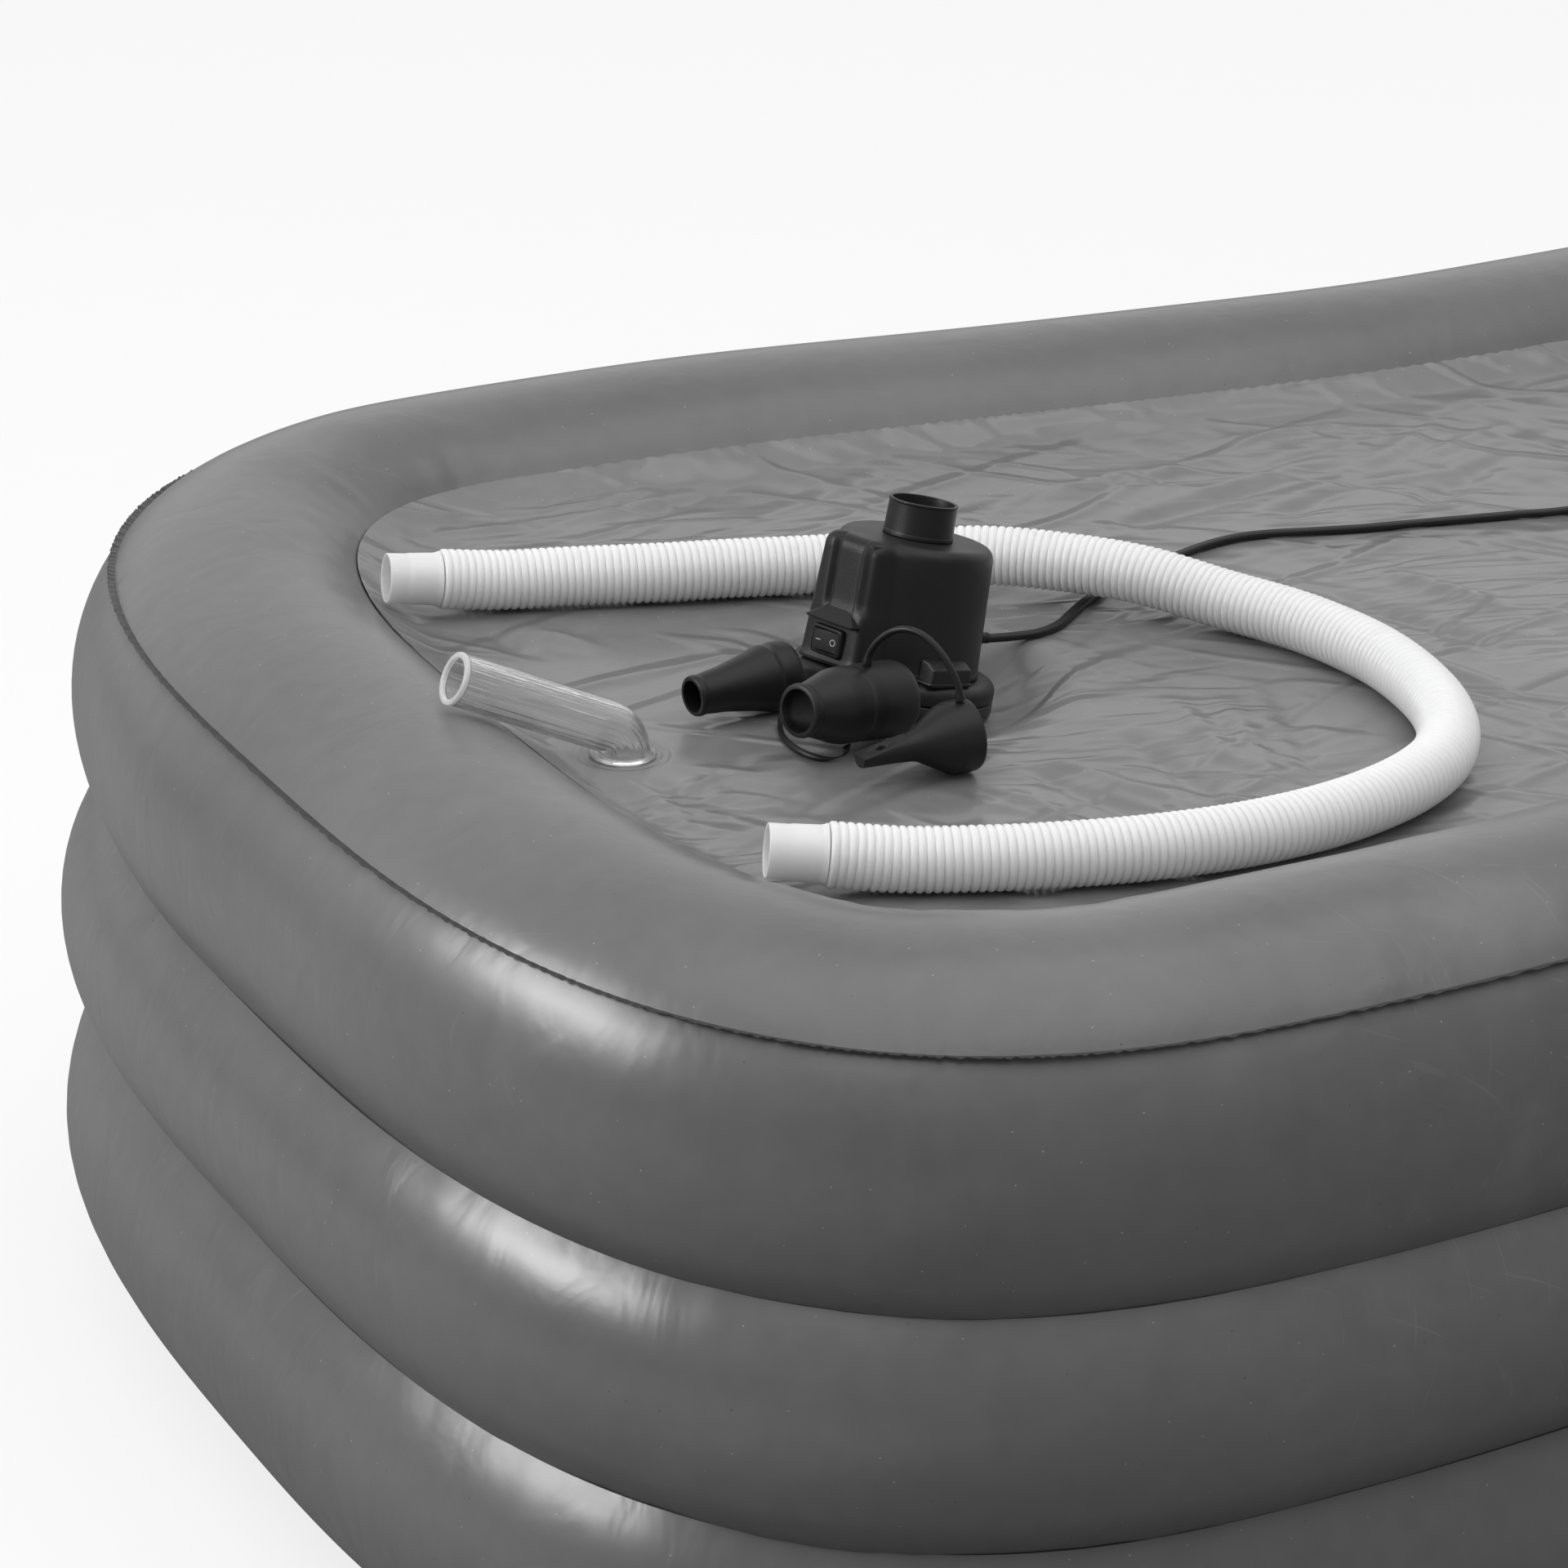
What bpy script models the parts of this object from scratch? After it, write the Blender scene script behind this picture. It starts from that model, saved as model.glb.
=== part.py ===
"""An inflatable bathtub turned over on its rim, with its drain outlet, air pump, nozzles and hose on top.

Metres, +Z up. The origin is on the floor under the middle of the tub. +X runs along the tub and +Y points
to its far side. The tub lies with its floor sheet uppermost, so the basin opens downwards.
"""

import math

import bmesh
import bpy
import numpy as np
from mathutils import Matrix, Vector
from mathutils.geometry import delaunay_2d_cdt

MM = 0.001

# Clearances: between pieces that touch, between pieces that slide or turn, and past a cutter's target
TOUCH = 0.3 * MM
RUNNING = 0.6 * MM
OVERRUN = 2 * MM

# The tub's plan: the centreline of its chambers
HALF_STRAIGHT = 540 * MM
END_REACH = 264 * MM
HALF_WIDTH = 378 * MM
CORNER_POWER = 2.95
WAIST_SHARE = 0.10
PLAN_STEPS = 48
END_X = -(HALF_STRAIGHT + END_REACH)
TURN_SHARE = 0.45

# The three air chambers, from the rim on the floor up to the base: half width, half height, rise above the rim
RIM_HALF_WIDTH = 97 * MM
RIM_HALF_HEIGHT = 97 * MM
RIM_FLATTENING = 5 * MM
MIDDLE_HALF_WIDTH = 93.5 * MM
MIDDLE_HALF_HEIGHT = 88 * MM
MIDDLE_RISE = 122 * MM
MIDDLE_BULGE = 3 * MM
BASE_HALF_WIDTH = 88.5 * MM
BASE_HALF_HEIGHT = 97.5 * MM
BASE_RISE = 240 * MM
ARC_POINTS = 5
BASE_ARC_POINTS = 11

# The welds on the base chamber, as angles round its section from the outer side
SEAM_ANGLE = math.radians(43)
FLOOR_WELD_ANGLE = math.radians(134)
FIN_REACH = 5 * MM
FIN_THICKNESS = 0.8 * MM
FIN_DROOP = math.radians(25)

# The floor sheet
SHEET_THICKNESS = 0.6 * MM
SHEET_DROP = 10 * MM
SHEET_STEP = 11 * MM
SHEET_GRID = 66 * MM
FOLD_DEPTH = 5 * MM
FOLD_SPACING = 150 * MM
FOLD_SLANT_SHARE = 0.45
FLAT_MARGIN = 28 * MM

# The drain outlet
DRAIN_INSET = 110 * MM
DRAIN_X = END_X + DRAIN_INSET
DRAIN_Y = -38 * MM
DRAIN_TUBE_RADIUS = 13 * MM
DRAIN_WALL = 2.6 * MM
DRAIN_FLANGE_RADIUS = 27 * MM
DRAIN_FLANGE_THICKNESS = 1.6 * MM
DRAIN_RISER = 2 * MM
DRAIN_BEND_RADIUS = 15 * MM
DRAIN_LENGTH = 84 * MM
DRAIN_RISE_ANGLE = math.radians(24)
DRAIN_HEADING = math.radians(174.5)
DRAIN_NECK_DEPTH = 7 * MM
STOPPER_HEAD_RADIUS = 17 * MM
STOPPER_HEAD_THICKNESS = 2 * MM
STOPPER_TAB_LENGTH = 9 * MM
STOPPER_TAB_WIDTH = 10 * MM
STOPPER_TAB_THICKNESS = 2.4 * MM

# The inflation valves, one on each chamber's far side
VALVE_SPACING = 130 * MM
VALVE_FLANGE_RADIUS = 22 * MM
VALVE_FLANGE_THICKNESS = 2 * MM
VALVE_NECK_RADIUS = 15 * MM
VALVE_NECK_HEIGHT = 7 * MM
VALVE_BORE_RADIUS = 12 * MM
VALVE_STEM_RADIUS = 3 * MM
VALVE_SEAT_DEPTH = 3 * MM
VALVE_CAP_THICKNESS = 2.4 * MM
VALVE_CAP_SKIRT = 1 * MM
VALVE_CAP_WALL = 1.6 * MM
VALVE_LUG_WIDTH = 8 * MM
VALVE_LUG_RADIUS = 1.2 * MM
VALVE_HINGE_SHARE = 1.3

# The hose that lies on the sheet
HOSE_RADIUS = 15.7 * MM
HOSE_GROOVE = 1.5 * MM
HOSE_WALL = 1.5 * MM
HOSE_RIBS = 88
HOSE_BORE_POINTS = 60
CUFF_RADIUS = 13.3 * MM
CUFF_WALL = 1.4 * MM
CUFF_LENGTH = 28 * MM
CROSSING_SPREAD = 80 * MM

# The pump: its place on the sheet, its lean on the soft sheet, and the way that its switch faces
PUMP_INSET = 276.5 * MM
PUMP_X = END_X + PUMP_INSET
PUMP_Y = -5.5 * MM
PUMP_SINK = 12 * MM
PUMP_LEAN = math.radians(13.6)
PUMP_LEAN_HEADING = math.radians(24.6)
PUMP_HEADING = math.radians(194)
PUMP_DENT = 48 * MM

# The pump's housing: a round body with a square block on its switch side
BODY_RADIUS = 42 * MM
BLOCK_REACH = 50 * MM
BLOCK_HALF_WIDTH = 23 * MM
BLOCK_CORNER = 4 * MM
BODY_HEIGHT = 66 * MM
BODY_DRAFT = 2.5 * MM
BODY_WALL = 2.2 * MM
BODY_EDGE = 3 * MM
FLUTE_WIDTH = 4 * MM
FLUTE_DEPTH = 1.2 * MM
FLUTE_OFFSET = 11 * MM
HOOD_REACH = 5.5 * MM
HOOD_HEIGHT = 10 * MM
HOOD_WIDTH = 31 * MM
BASE_OVERHANG = 10 * MM
BASE_BLOCK_OVERHANG = 2 * MM
BASE_PLATE_HEIGHT = 9 * MM
BASE_COVER_HEIGHT = 10 * MM
BASE_WALL = 2.4 * MM
BOSS_WIDTH = 27 * MM
BOSS_HEIGHT = 13 * MM
BOSS_REACH = 6 * MM
BOSS_OFFSET = 4 * MM
SPOUT_RADIUS = 17.5 * MM
SPOUT_HEIGHT = 18.5 * MM
SPOUT_WALL = 1.6 * MM
SPOUT_LIP = 3 * MM

# The pump's inside
MOTOR_RADIUS = 17 * MM
MOTOR_LENGTH = 34 * MM
MOTOR_PLATE_THICKNESS = 2 * MM
MOTOR_PLATE_LEVEL = 3 * MM
SHAFT_RADIUS = 1.6 * MM
SHAFT_STUB = 2.5 * MM
IMPELLER_RADIUS = 33 * MM
IMPELLER_HUB_RADIUS = 6 * MM
IMPELLER_DISC = 1.4 * MM
IMPELLER_BLADE_HEIGHT = 7 * MM
IMPELLER_BLADE_THICKNESS = 1.4 * MM
IMPELLER_BLADES = 7
SLOT_WIDTH = 3.2 * MM
SLOT_SPACING = 8 * MM
SLOT_COUNT = 5
SCREW_RADIUS = 3 * MM
SCREW_LENGTH = 6 * MM
SCREW_INSET = 9 * MM
SCREW_COUNT = 4

# The rocker switch
BEZEL_WIDTH = 21 * MM
BEZEL_HEIGHT = 15 * MM
BEZEL_FRAME = 1.8 * MM
BEZEL_THICKNESS = 2 * MM
SWITCH_DEPTH = 11 * MM
SWITCH_LEVEL = 12 * MM
ROCKER_ROOT_SHARE = 0.8
ROCKER_TILT = math.radians(9)

# The nozzles, propped on each other's tethers: sizes, then the mouth's place from the pump, heading and rise
NOZZLE_WALL = 1.6 * MM
NARROW_SOCKET_RADIUS = 17 * MM
NARROW_MOUTH_RADIUS = 9.6 * MM
NARROW_LENGTH = 56 * MM
NARROW_MOUTH = (-120.5 * MM, -16 * MM, 16.4 * MM)
NARROW_HEADING = math.radians(6.3)
NARROW_RISE = math.radians(1.3)
WIDE_SOCKET_RADIUS = 19.2 * MM
WIDE_MOUTH_RADIUS = 12.4 * MM
WIDE_LENGTH = 66 * MM
WIDE_MOUTH = (-98 * MM, -83 * MM, 30 * MM)
WIDE_HEADING = math.radians(15.1)
WIDE_RISE = math.radians(-8.7)
PINCH_SOCKET_RADIUS = 18 * MM
PINCH_TIP_RADIUS = 5 * MM
PINCH_LENGTH = 61 * MM
PINCH_TIP = (-83.5 * MM, -119.5 * MM, 17 * MM)
PINCH_HEADING = math.radians(1.2)
PINCH_RISE = math.radians(1.4)
TETHER_RADIUS = 1.7 * MM
ARCH_HEIGHT = 26 * MM
ARCH_START_SHARE = 0.66
ARCH_STOP_SHARE = 0.92
ARCH_POWER = 0.6
ARCH_POINTS = 15

# Each nozzle's outside, as shares of its mouth-to-socket swell and of its length
NARROW_SHARES = ((0.0, 0.0), (0.45, 0.50), (0.85, 0.62), (1.0, 0.68), (1.0, 1.0))
WIDE_SHARES = ((0.0, 0.0), (0.30, 0.36), (0.90, 0.48), (1.0, 0.58), (1.0, 1.0))
PINCH_SHARES = ((0.0, 0.0), (0.12, 0.48), (0.92, 0.80), (1.0, 0.84), (1.0, 1.0))

# The power cord
CORD_RADIUS = 2.4 * MM
COIL_RADIUS = 33 * MM
COIL_PITCH = 5.6 * MM
COIL_LAYER = 5.4 * MM
COIL_TURNS = 2
COIL_INSET = 810 * MM
COIL_X = END_X + COIL_INSET
COIL_Y = 14 * MM
COIL_START = math.radians(97)
COIL_STEPS = 24
LEAD_POINTS = 60
TAIL_POINTS = 14
RELIEF_LENGTH = 22 * MM
RELIEF_RADIUS = 4.2 * MM
RELIEF_LEVEL = 13 * MM
RELIEF_COLLAR = 2 * MM
PLUG_INSET = 894 * MM
PLUG_X = END_X + PLUG_INSET
PLUG_Y = 46 * MM
PLUG_NECK_SHARE = 0.5
PLUG_LENGTH = 34 * MM
PLUG_WIDTH = 26 * MM
PLUG_HEIGHT = 12 * MM
PLUG_PIN_LENGTH = 19 * MM
PLUG_PIN_RADIUS = 2.4 * MM
PLUG_PIN_SPACING = 19 * MM

# Colour, roughness and metallic value of each finish
FINISHES = {
    "grey_pvc": ((0.24, 0.24, 0.25), 0.42, 0.0),
    "floor_pvc": ((0.19, 0.19, 0.20), 0.38, 0.0),
    "clear_pvc": ((0.80, 0.83, 0.84), 0.08, 0.0),
    "white_hose": ((0.83, 0.83, 0.81), 0.40, 0.0),
    "black_plastic": ((0.022, 0.022, 0.023), 0.45, 0.0),
    "black_rubber": ((0.018, 0.018, 0.018), 0.55, 0.0),
    "steel": ((0.60, 0.60, 0.61), 0.30, 1.0),
}


def clear_scene():
    for obj in list(bpy.data.objects):
        bpy.data.objects.remove(obj, do_unlink=True)


def material(finish):
    """The finish's material, made once."""
    made = bpy.data.materials.get(finish)
    if made is None:
        colour, roughness, metallic = FINISHES[finish]
        made = bpy.data.materials.new(finish)
        made.use_nodes = True
        shader = made.node_tree.nodes["Principled BSDF"]
        shader.inputs["Base Color"].default_value = (*colour, 1)
        shader.inputs["Roughness"].default_value = roughness
        shader.inputs["Metallic"].default_value = metallic
        made.diffuse_color = (*colour, 1)
    return made


def place(obj, finish, parent=None, matrix=None):
    """Adds an object to the scene, with its finish, parent and place."""
    bpy.context.scene.collection.objects.link(obj)
    obj.data.materials.append(material(finish))
    obj.parent = parent
    if matrix is not None:
        obj.matrix_local = matrix
    return obj


def solid(name, points, faces, finish, parent=None, matrix=None):
    """A closed mesh from points and faces, turned to face outwards and shaded smooth."""
    mesh = bpy.data.meshes.new(name)
    mesh.from_pydata([tuple(p) for p in points], [], [tuple(f) for f in faces])
    shape = bmesh.new()
    shape.from_mesh(mesh)
    bmesh.ops.remove_doubles(shape, verts=shape.verts, dist=TOUCH / 100)
    bmesh.ops.recalc_face_normals(shape, faces=shape.faces)
    shape.to_mesh(mesh)
    shape.free()
    mesh.shade_smooth()
    mesh.set_sharp_from_angle(angle=math.radians(35))
    return place(bpy.data.objects.new(name, mesh), finish, parent, matrix)


def grid_faces(rows, columns, wrap_rows=False):
    """The quads of a grid whose columns close on themselves, and whose rows may too."""
    faces = []
    for i in range(rows if wrap_rows else rows - 1):
        for j in range(columns):
            k, m = (i + 1) % rows, (j + 1) % columns
            faces.append((i * columns + j, i * columns + m, k * columns + m, k * columns + j))
    return faces


def loft(name, sections, finish, parent=None, matrix=None, closed=False):
    """A solid through sections of equal point count, capped at both ends or closed into a ring."""
    rows, columns = len(sections), len(sections[0])
    faces = grid_faces(rows, columns, wrap_rows=closed)
    if not closed:
        faces.append(tuple(range(columns)))
        faces.append(tuple((rows - 1) * columns + j for j in range(columns)))
    return solid(name, np.concatenate(sections), faces, finish, parent, matrix)


def turned(name, profile, finish, parent=None, matrix=None, steps=20, ring=True):
    """A solid turned about local Z from (radius, height) points: a ring's outline, or one from axis to axis."""
    angles = np.arange(steps) * math.tau / steps
    sections = [
        np.stack([r * np.cos(angles), r * np.sin(angles), np.full(steps, z)], axis=1) for r, z in profile
    ]
    faces = grid_faces(len(profile), steps, wrap_rows=ring)
    return solid(name, np.concatenate(sections), faces, finish, parent, matrix)


def box(name, low, high, finish, parent=None, matrix=None):
    """A box between two corners."""
    corners = [(x, y, z) for z in (low[2], high[2]) for x, y in
               ((low[0], low[1]), (high[0], low[1]), (high[0], high[1]), (low[0], high[1]))]
    faces = [(3, 2, 1, 0), (4, 5, 6, 7), (0, 1, 5, 4), (1, 2, 6, 5), (2, 3, 7, 6), (3, 0, 4, 7)]
    return solid(name, corners, faces, finish, parent, matrix)


def prism(name, outline, low, high, finish, parent=None, matrix=None):
    """An outline in local X and Y, drawn up from one height to another."""
    return loft(name, [at_height(outline, low), at_height(outline, high)], finish, parent, matrix)


def at_height(outline, z):
    return np.column_stack([outline, np.full(len(outline), z)])


def combine(target, tool, operation="DIFFERENCE"):
    """Cuts the tool from the target, or joins it on, and hides the tool."""
    tool.hide_render = True
    tool.display_type = "WIRE"
    modifier = target.modifiers.new(tool.name, "BOOLEAN")
    modifier.operation = operation
    modifier.solver = "EXACT"
    modifier.object = tool


def tube(name, points, radius, finish, parent=None, resolution=2, radii=None):
    """A curve object with a round bevel and filled caps through the points."""
    curve = bpy.data.curves.new(name, "CURVE")
    curve.dimensions = "3D"
    curve.bevel_depth = radius
    curve.bevel_resolution = resolution
    curve.use_fill_caps = True
    spline = curve.splines.new("POLY")
    spline.points.add(len(points) - 1)
    for k, point in enumerate(points):
        spline.points[k].co = (*point, 1)
        spline.points[k].radius = 1 if radii is None else radii[k]
    spline.use_smooth = True
    return place(bpy.data.objects.new(name, curve), finish, parent)


def smooth_curve(route, count):
    """Evenly spaced points on a smooth curve through a route's points."""
    route = np.array(route, float)
    ends = np.concatenate([2 * route[:1] - route[1:2], route, 2 * route[-1:] - route[-2:-1]])
    steps = np.linspace(0, 1, 40, endpoint=False)[:, None]
    pieces = []
    for a, b, c, d in zip(ends, ends[1:], ends[2:], ends[3:]):
        pieces.append(
            ((2 * b) + (c - a) * steps + (2 * a - 5 * b + 4 * c - d) * steps**2
             + (3 * b - a - 3 * c + d) * steps**3) / 2
        )
    dense = np.concatenate([*pieces, route[-1:]])
    return evenly(dense, count)


def evenly(points, count):
    """Points at equal steps along a polyline."""
    steps = np.linalg.norm(np.diff(points, axis=0), axis=1)
    along = np.concatenate([[0], np.cumsum(steps)])
    wanted = np.linspace(0, along[-1], count)
    return np.stack([np.interp(wanted, along, points[:, k]) for k in range(points.shape[1])], axis=1)


def length_of(points):
    return float(np.linalg.norm(np.diff(points, axis=0), axis=1).sum())


def frame_along(origin, direction, side):
    """A place whose local Z runs along the direction, and whose local X lies as near the side as it can."""
    z = Vector(direction).normalized()
    y = z.cross(Vector(side)).normalized()
    x = y.cross(z)
    return Matrix.Translation(Vector(origin)) @ Matrix((x, y, z)).transposed().to_4x4()


# The plan and the chambers


def plan_path(count):
    """The chambers' centreline, anticlockwise from the middle of the near side, and its outward directions."""
    angle = np.linspace(-math.pi / 2, math.pi / 2, 400)
    power = 2 / CORNER_POWER
    end_x = HALF_STRAIGHT + END_REACH * np.abs(np.cos(angle)) ** power
    end_y = HALF_WIDTH * np.sign(np.sin(angle)) * np.abs(np.sin(angle)) ** power
    side_x = np.linspace(0, HALF_STRAIGHT, 200)[:-1]
    side_y = -HALF_WIDTH * (1 - WAIST_SHARE * (1 + np.cos(math.pi * side_x / HALF_STRAIGHT)) / 2)
    right = np.stack([np.concatenate([side_x, end_x, side_x[::-1]]),
                      np.concatenate([side_y, end_y, -side_y[::-1]])], axis=1)
    around = np.concatenate([right, -right[1:]])
    dense = evenly(around, 1600)
    steps = np.diff(dense, axis=0)
    heading = np.unwrap(np.arctan2(steps[:, 1], steps[:, 0]))
    turned_by = np.concatenate([[0], np.cumsum(np.abs(np.diff(heading, append=heading[-1])))])
    gone = np.linspace(0, 1, len(dense))
    measure = (1 - TURN_SHARE) * gone + TURN_SHARE * turned_by / turned_by[-1]
    wanted = np.linspace(0, 1, count + 1)[:-1]
    path = np.stack([np.interp(wanted, measure, dense[:, k]) for k in range(2)], axis=1)
    ahead = np.roll(path, -1, axis=0) - np.roll(path, 1, axis=0)
    outward = np.stack([ahead[:, 1], -ahead[:, 0]], axis=1)
    return path, outward / np.linalg.norm(outward, axis=1)[:, None]


def swept_round(section, path, outward):
    """The section's (outward, height) points carried round the plan: one polygon at each path point."""
    reach, height = section[:, :1], section[:, 1]
    return [np.column_stack([p + reach * n, height]) for p, n in zip(path, outward)]


def half_width_at(chamber, height):
    level, half_width, half_height, bulge = chamber
    return bulge + half_width * math.sqrt(max(0.0, 1 - ((height - level) / half_height) ** 2))


def meeting_height(lower, upper):
    """The height between two chambers' centres where their outer sides meet."""
    low, high = lower[0], upper[0]
    for _ in range(50):
        middle = (low + high) / 2
        if half_width_at(lower, middle) > half_width_at(upper, middle):
            low = middle
        else:
            high = middle
    return (low + high) / 2


def chamber_section(chamber, bottom, top):
    """A chamber's section between two flats, as (outward, height) points."""
    level, half_width, half_height, bulge = chamber
    start = math.asin((bottom - level) / half_height)
    if top is None:
        angles = np.linspace(start, math.pi - start, BASE_ARC_POINTS)
        nearest = [np.abs(angles - fixed).argmin() for fixed in (SEAM_ANGLE, FLOOR_WELD_ANGLE)]
        angles[nearest] = (SEAM_ANGLE, FLOOR_WELD_ANGLE)
    else:
        stop = math.asin((top - level) / half_height)
        outer = np.linspace(start, stop, ARC_POINTS)
        angles = np.concatenate([outer, math.pi - outer[::-1]])
    return np.stack([bulge + half_width * np.cos(angles), level + half_height * np.sin(angles)], axis=1)


RIM_LEVEL = RIM_HALF_HEIGHT - RIM_FLATTENING
RIM = (RIM_LEVEL, RIM_HALF_WIDTH, RIM_HALF_HEIGHT, 0.0)
MIDDLE = (RIM_LEVEL + MIDDLE_RISE, MIDDLE_HALF_WIDTH, MIDDLE_HALF_HEIGHT, MIDDLE_BULGE)
BASE = (RIM_LEVEL + BASE_RISE, BASE_HALF_WIDTH, BASE_HALF_HEIGHT, 0.0)
PATH, OUTWARD = plan_path(PLAN_STEPS)
WELD_INSET = -BASE_HALF_WIDTH * math.cos(FLOOR_WELD_ANGLE) + TOUCH
WELD_LEVEL = BASE[0] + BASE_HALF_HEIGHT * math.sin(FLOOR_WELD_ANGLE)
SHEET_TOP = WELD_LEVEL - SHEET_DROP


LOWER_WELD, UPPER_WELD = meeting_height(RIM, MIDDLE), meeting_height(MIDDLE, BASE)
SECTIONS = {
    "rim": chamber_section(RIM, 0.0, LOWER_WELD - TOUCH / 2),
    "middle": chamber_section(MIDDLE, LOWER_WELD + TOUCH / 2, UPPER_WELD - TOUCH / 2),
    "base": chamber_section(BASE, UPPER_WELD + TOUCH / 2, None),
}


def build_chambers():
    for name, section in SECTIONS.items():
        loft(f"{name}_chamber", swept_round(section, PATH, OUTWARD), "grey_pvc", closed=True)


def far_wall(section, x, level, reach):
    """The greatest Y of a chamber's far outer wall within a reach of a place on it."""
    outer = section[:len(section) // 2]
    out = np.interp(np.linspace(level - reach, level + reach, 9), outer[:, 1], outer[:, 0]).max()
    wall = (PATH + OUTWARD * out)[PATH[:, 1] > 0]
    wall = wall[np.argsort(wall[:, 0])]
    return float(np.interp(np.linspace(x - reach, x + reach, 9), wall[:, 0], wall[:, 1]).max())


def build_seam_fin():
    """The trimmed edge of the weld between the base chamber's upper sheet and its side sheet."""
    foot = np.array([BASE_HALF_WIDTH * math.cos(SEAM_ANGLE), BASE[0] + BASE_HALF_HEIGHT * math.sin(SEAM_ANGLE)])
    normal = np.array([math.cos(SEAM_ANGLE), math.sin(SEAM_ANGLE)])
    along = np.array([math.cos(SEAM_ANGLE - FIN_DROOP), math.sin(SEAM_ANGLE - FIN_DROOP)])
    across = np.array([-along[1], along[0]]) * FIN_THICKNESS / 2
    start = foot + normal * (TOUCH + FIN_THICKNESS / 2)
    section = np.array([start - across, start + along * FIN_REACH - across, start + along * FIN_REACH + across,
                        start + across])
    loft("seam_fin", swept_round(section, PATH, OUTWARD), "grey_pvc", closed=True)


# The pump's place, which the sheet's dent follows


def pump_matrix():
    """The pump's place: local X to its switch side, local Z up its leaning axis, origin under its spout."""
    lean_axis = Vector((-math.sin(PUMP_LEAN_HEADING), math.cos(PUMP_LEAN_HEADING), 0))
    origin = Vector((PUMP_X, PUMP_Y, SHEET_TOP - PUMP_SINK))
    return (Matrix.Translation(origin) @ Matrix.Rotation(PUMP_LEAN, 4, lean_axis)
            @ Matrix.Rotation(PUMP_HEADING, 4, "Z"))


def pump_outline(radius, reach, half_width, corner, arc_points=17):
    """A round body with a square block towards +X, anticlockwise."""
    start = math.asin(half_width / radius)
    angles = np.linspace(start, math.tau - start, arc_points)
    arc = np.stack([radius * np.cos(angles), radius * np.sin(angles)], axis=1)
    turn = np.linspace(0, math.pi / 2, 3)
    centre = np.array([reach - corner, half_width - corner])
    upper = centre + corner * np.stack([np.cos(turn), np.sin(turn)], axis=1)
    lower = (upper * (1, -1))[::-1]
    return np.concatenate([arc, lower, upper])


def housing_outline(inset=0.0):
    return pump_outline(BODY_RADIUS - inset, BLOCK_REACH - inset, BLOCK_HALF_WIDTH - inset,
                        max(BLOCK_CORNER - inset, BLOCK_CORNER / 4))


def base_outline(inset=0.0):
    corner = BLOCK_CORNER + BASE_BLOCK_OVERHANG - inset / 2
    return pump_outline(BODY_RADIUS + BASE_OVERHANG - inset, BLOCK_REACH + BASE_BLOCK_OVERHANG - inset,
                        BLOCK_HALF_WIDTH + BASE_BLOCK_OVERHANG - inset, corner)


def dent_outline(margin):
    """The pump's footprint on the sheet and a margin round it, in world X and Y, with the heights of its base."""
    outline = at_height(base_outline(-margin), -TOUCH)
    turn = np.array(pump_matrix())
    return outline @ turn[:3, :3].T + turn[:3, 3]


# The sheet


def laid(route):
    """A route's places: X is given from the tub's end, and Y as a share of its half width."""
    return [(END_X + x, share * HALF_WIDTH, *rest) for x, share, *rest in route]


HOSE_ROUTE = laid([
    (0.0800, 0.4651, 0.0055), (0.1100, 0.4471, 0.0028), (0.1400, 0.4291, 0.0001), (0.1740, 0.4048, 0.0),
    (0.2160, 0.3704, 0.0), (0.2589, 0.3399, 0.0), (0.3009, 0.3069, 0.0), (0.3414, 0.2672, 0.0),
    (0.3797, 0.2143, 0.0), (0.4130, 0.1444, 0.0), (0.4430, 0.0574, 0.0), (0.4689, -0.0450, 0.0),
    (0.4900, -0.1640, 0.0), (0.4990, -0.3042, 0.0), (0.4930, -0.4392, 0.0), (0.4780, -0.5450, 0.0),
    (0.4540, -0.6270, 0.0), (0.4240, -0.6799, 0.0), (0.3890, -0.7143, 0.0), (0.3510, -0.7328, 0.0),
    (0.3080, -0.7354, 0.0), (0.2620, -0.7196, 0.0), (0.2180, -0.6905, 0.0), (0.1840, -0.6601, 0.0),
    (0.1540, -0.6265, 0.0), (0.1250, -0.5939, 0.0026), (0.0960, -0.5614, 0.0052),
])
CORD_ROUTE = laid([
    (0.3810, 0.0370), (0.4000, 0.0688), (0.4215, 0.1124), (0.4440, 0.1481), (0.4690, 0.1799),
    (0.5004, 0.2116), (0.5300, 0.2354), (0.5560, 0.2394), (0.5840, 0.2222), (0.6140, 0.2011),
    (0.6468, 0.1852), (0.6790, 0.1693), (0.7090, 0.1548), (0.7379, 0.1399),
])
CROSSING = laid([(0.4090, 0.1534)])[0]

# From the plug, and from the pump
TAIL_ROUTE = [(PLUG_X + x, PLUG_Y + y) for x, y in [
    (-0.0500, 0.0100), (-0.0320, 0.0090), (-0.0140, 0.0050),
]]
LOWER_TETHER_ROUTE = [(PUMP_X + x, PUMP_Y + y, rise) for x, y, rise in [
    (-0.0785, -0.0315, 0.0020), (-0.0835, -0.0395, 0.0000), (-0.0880, -0.0535, 0.0000),
    (-0.0880, -0.0705, 0.0000), (-0.0820, -0.0825, 0.0000), (-0.0720, -0.0840, 0.0010),
    (-0.0685, -0.0805, 0.0040),
]]


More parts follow.
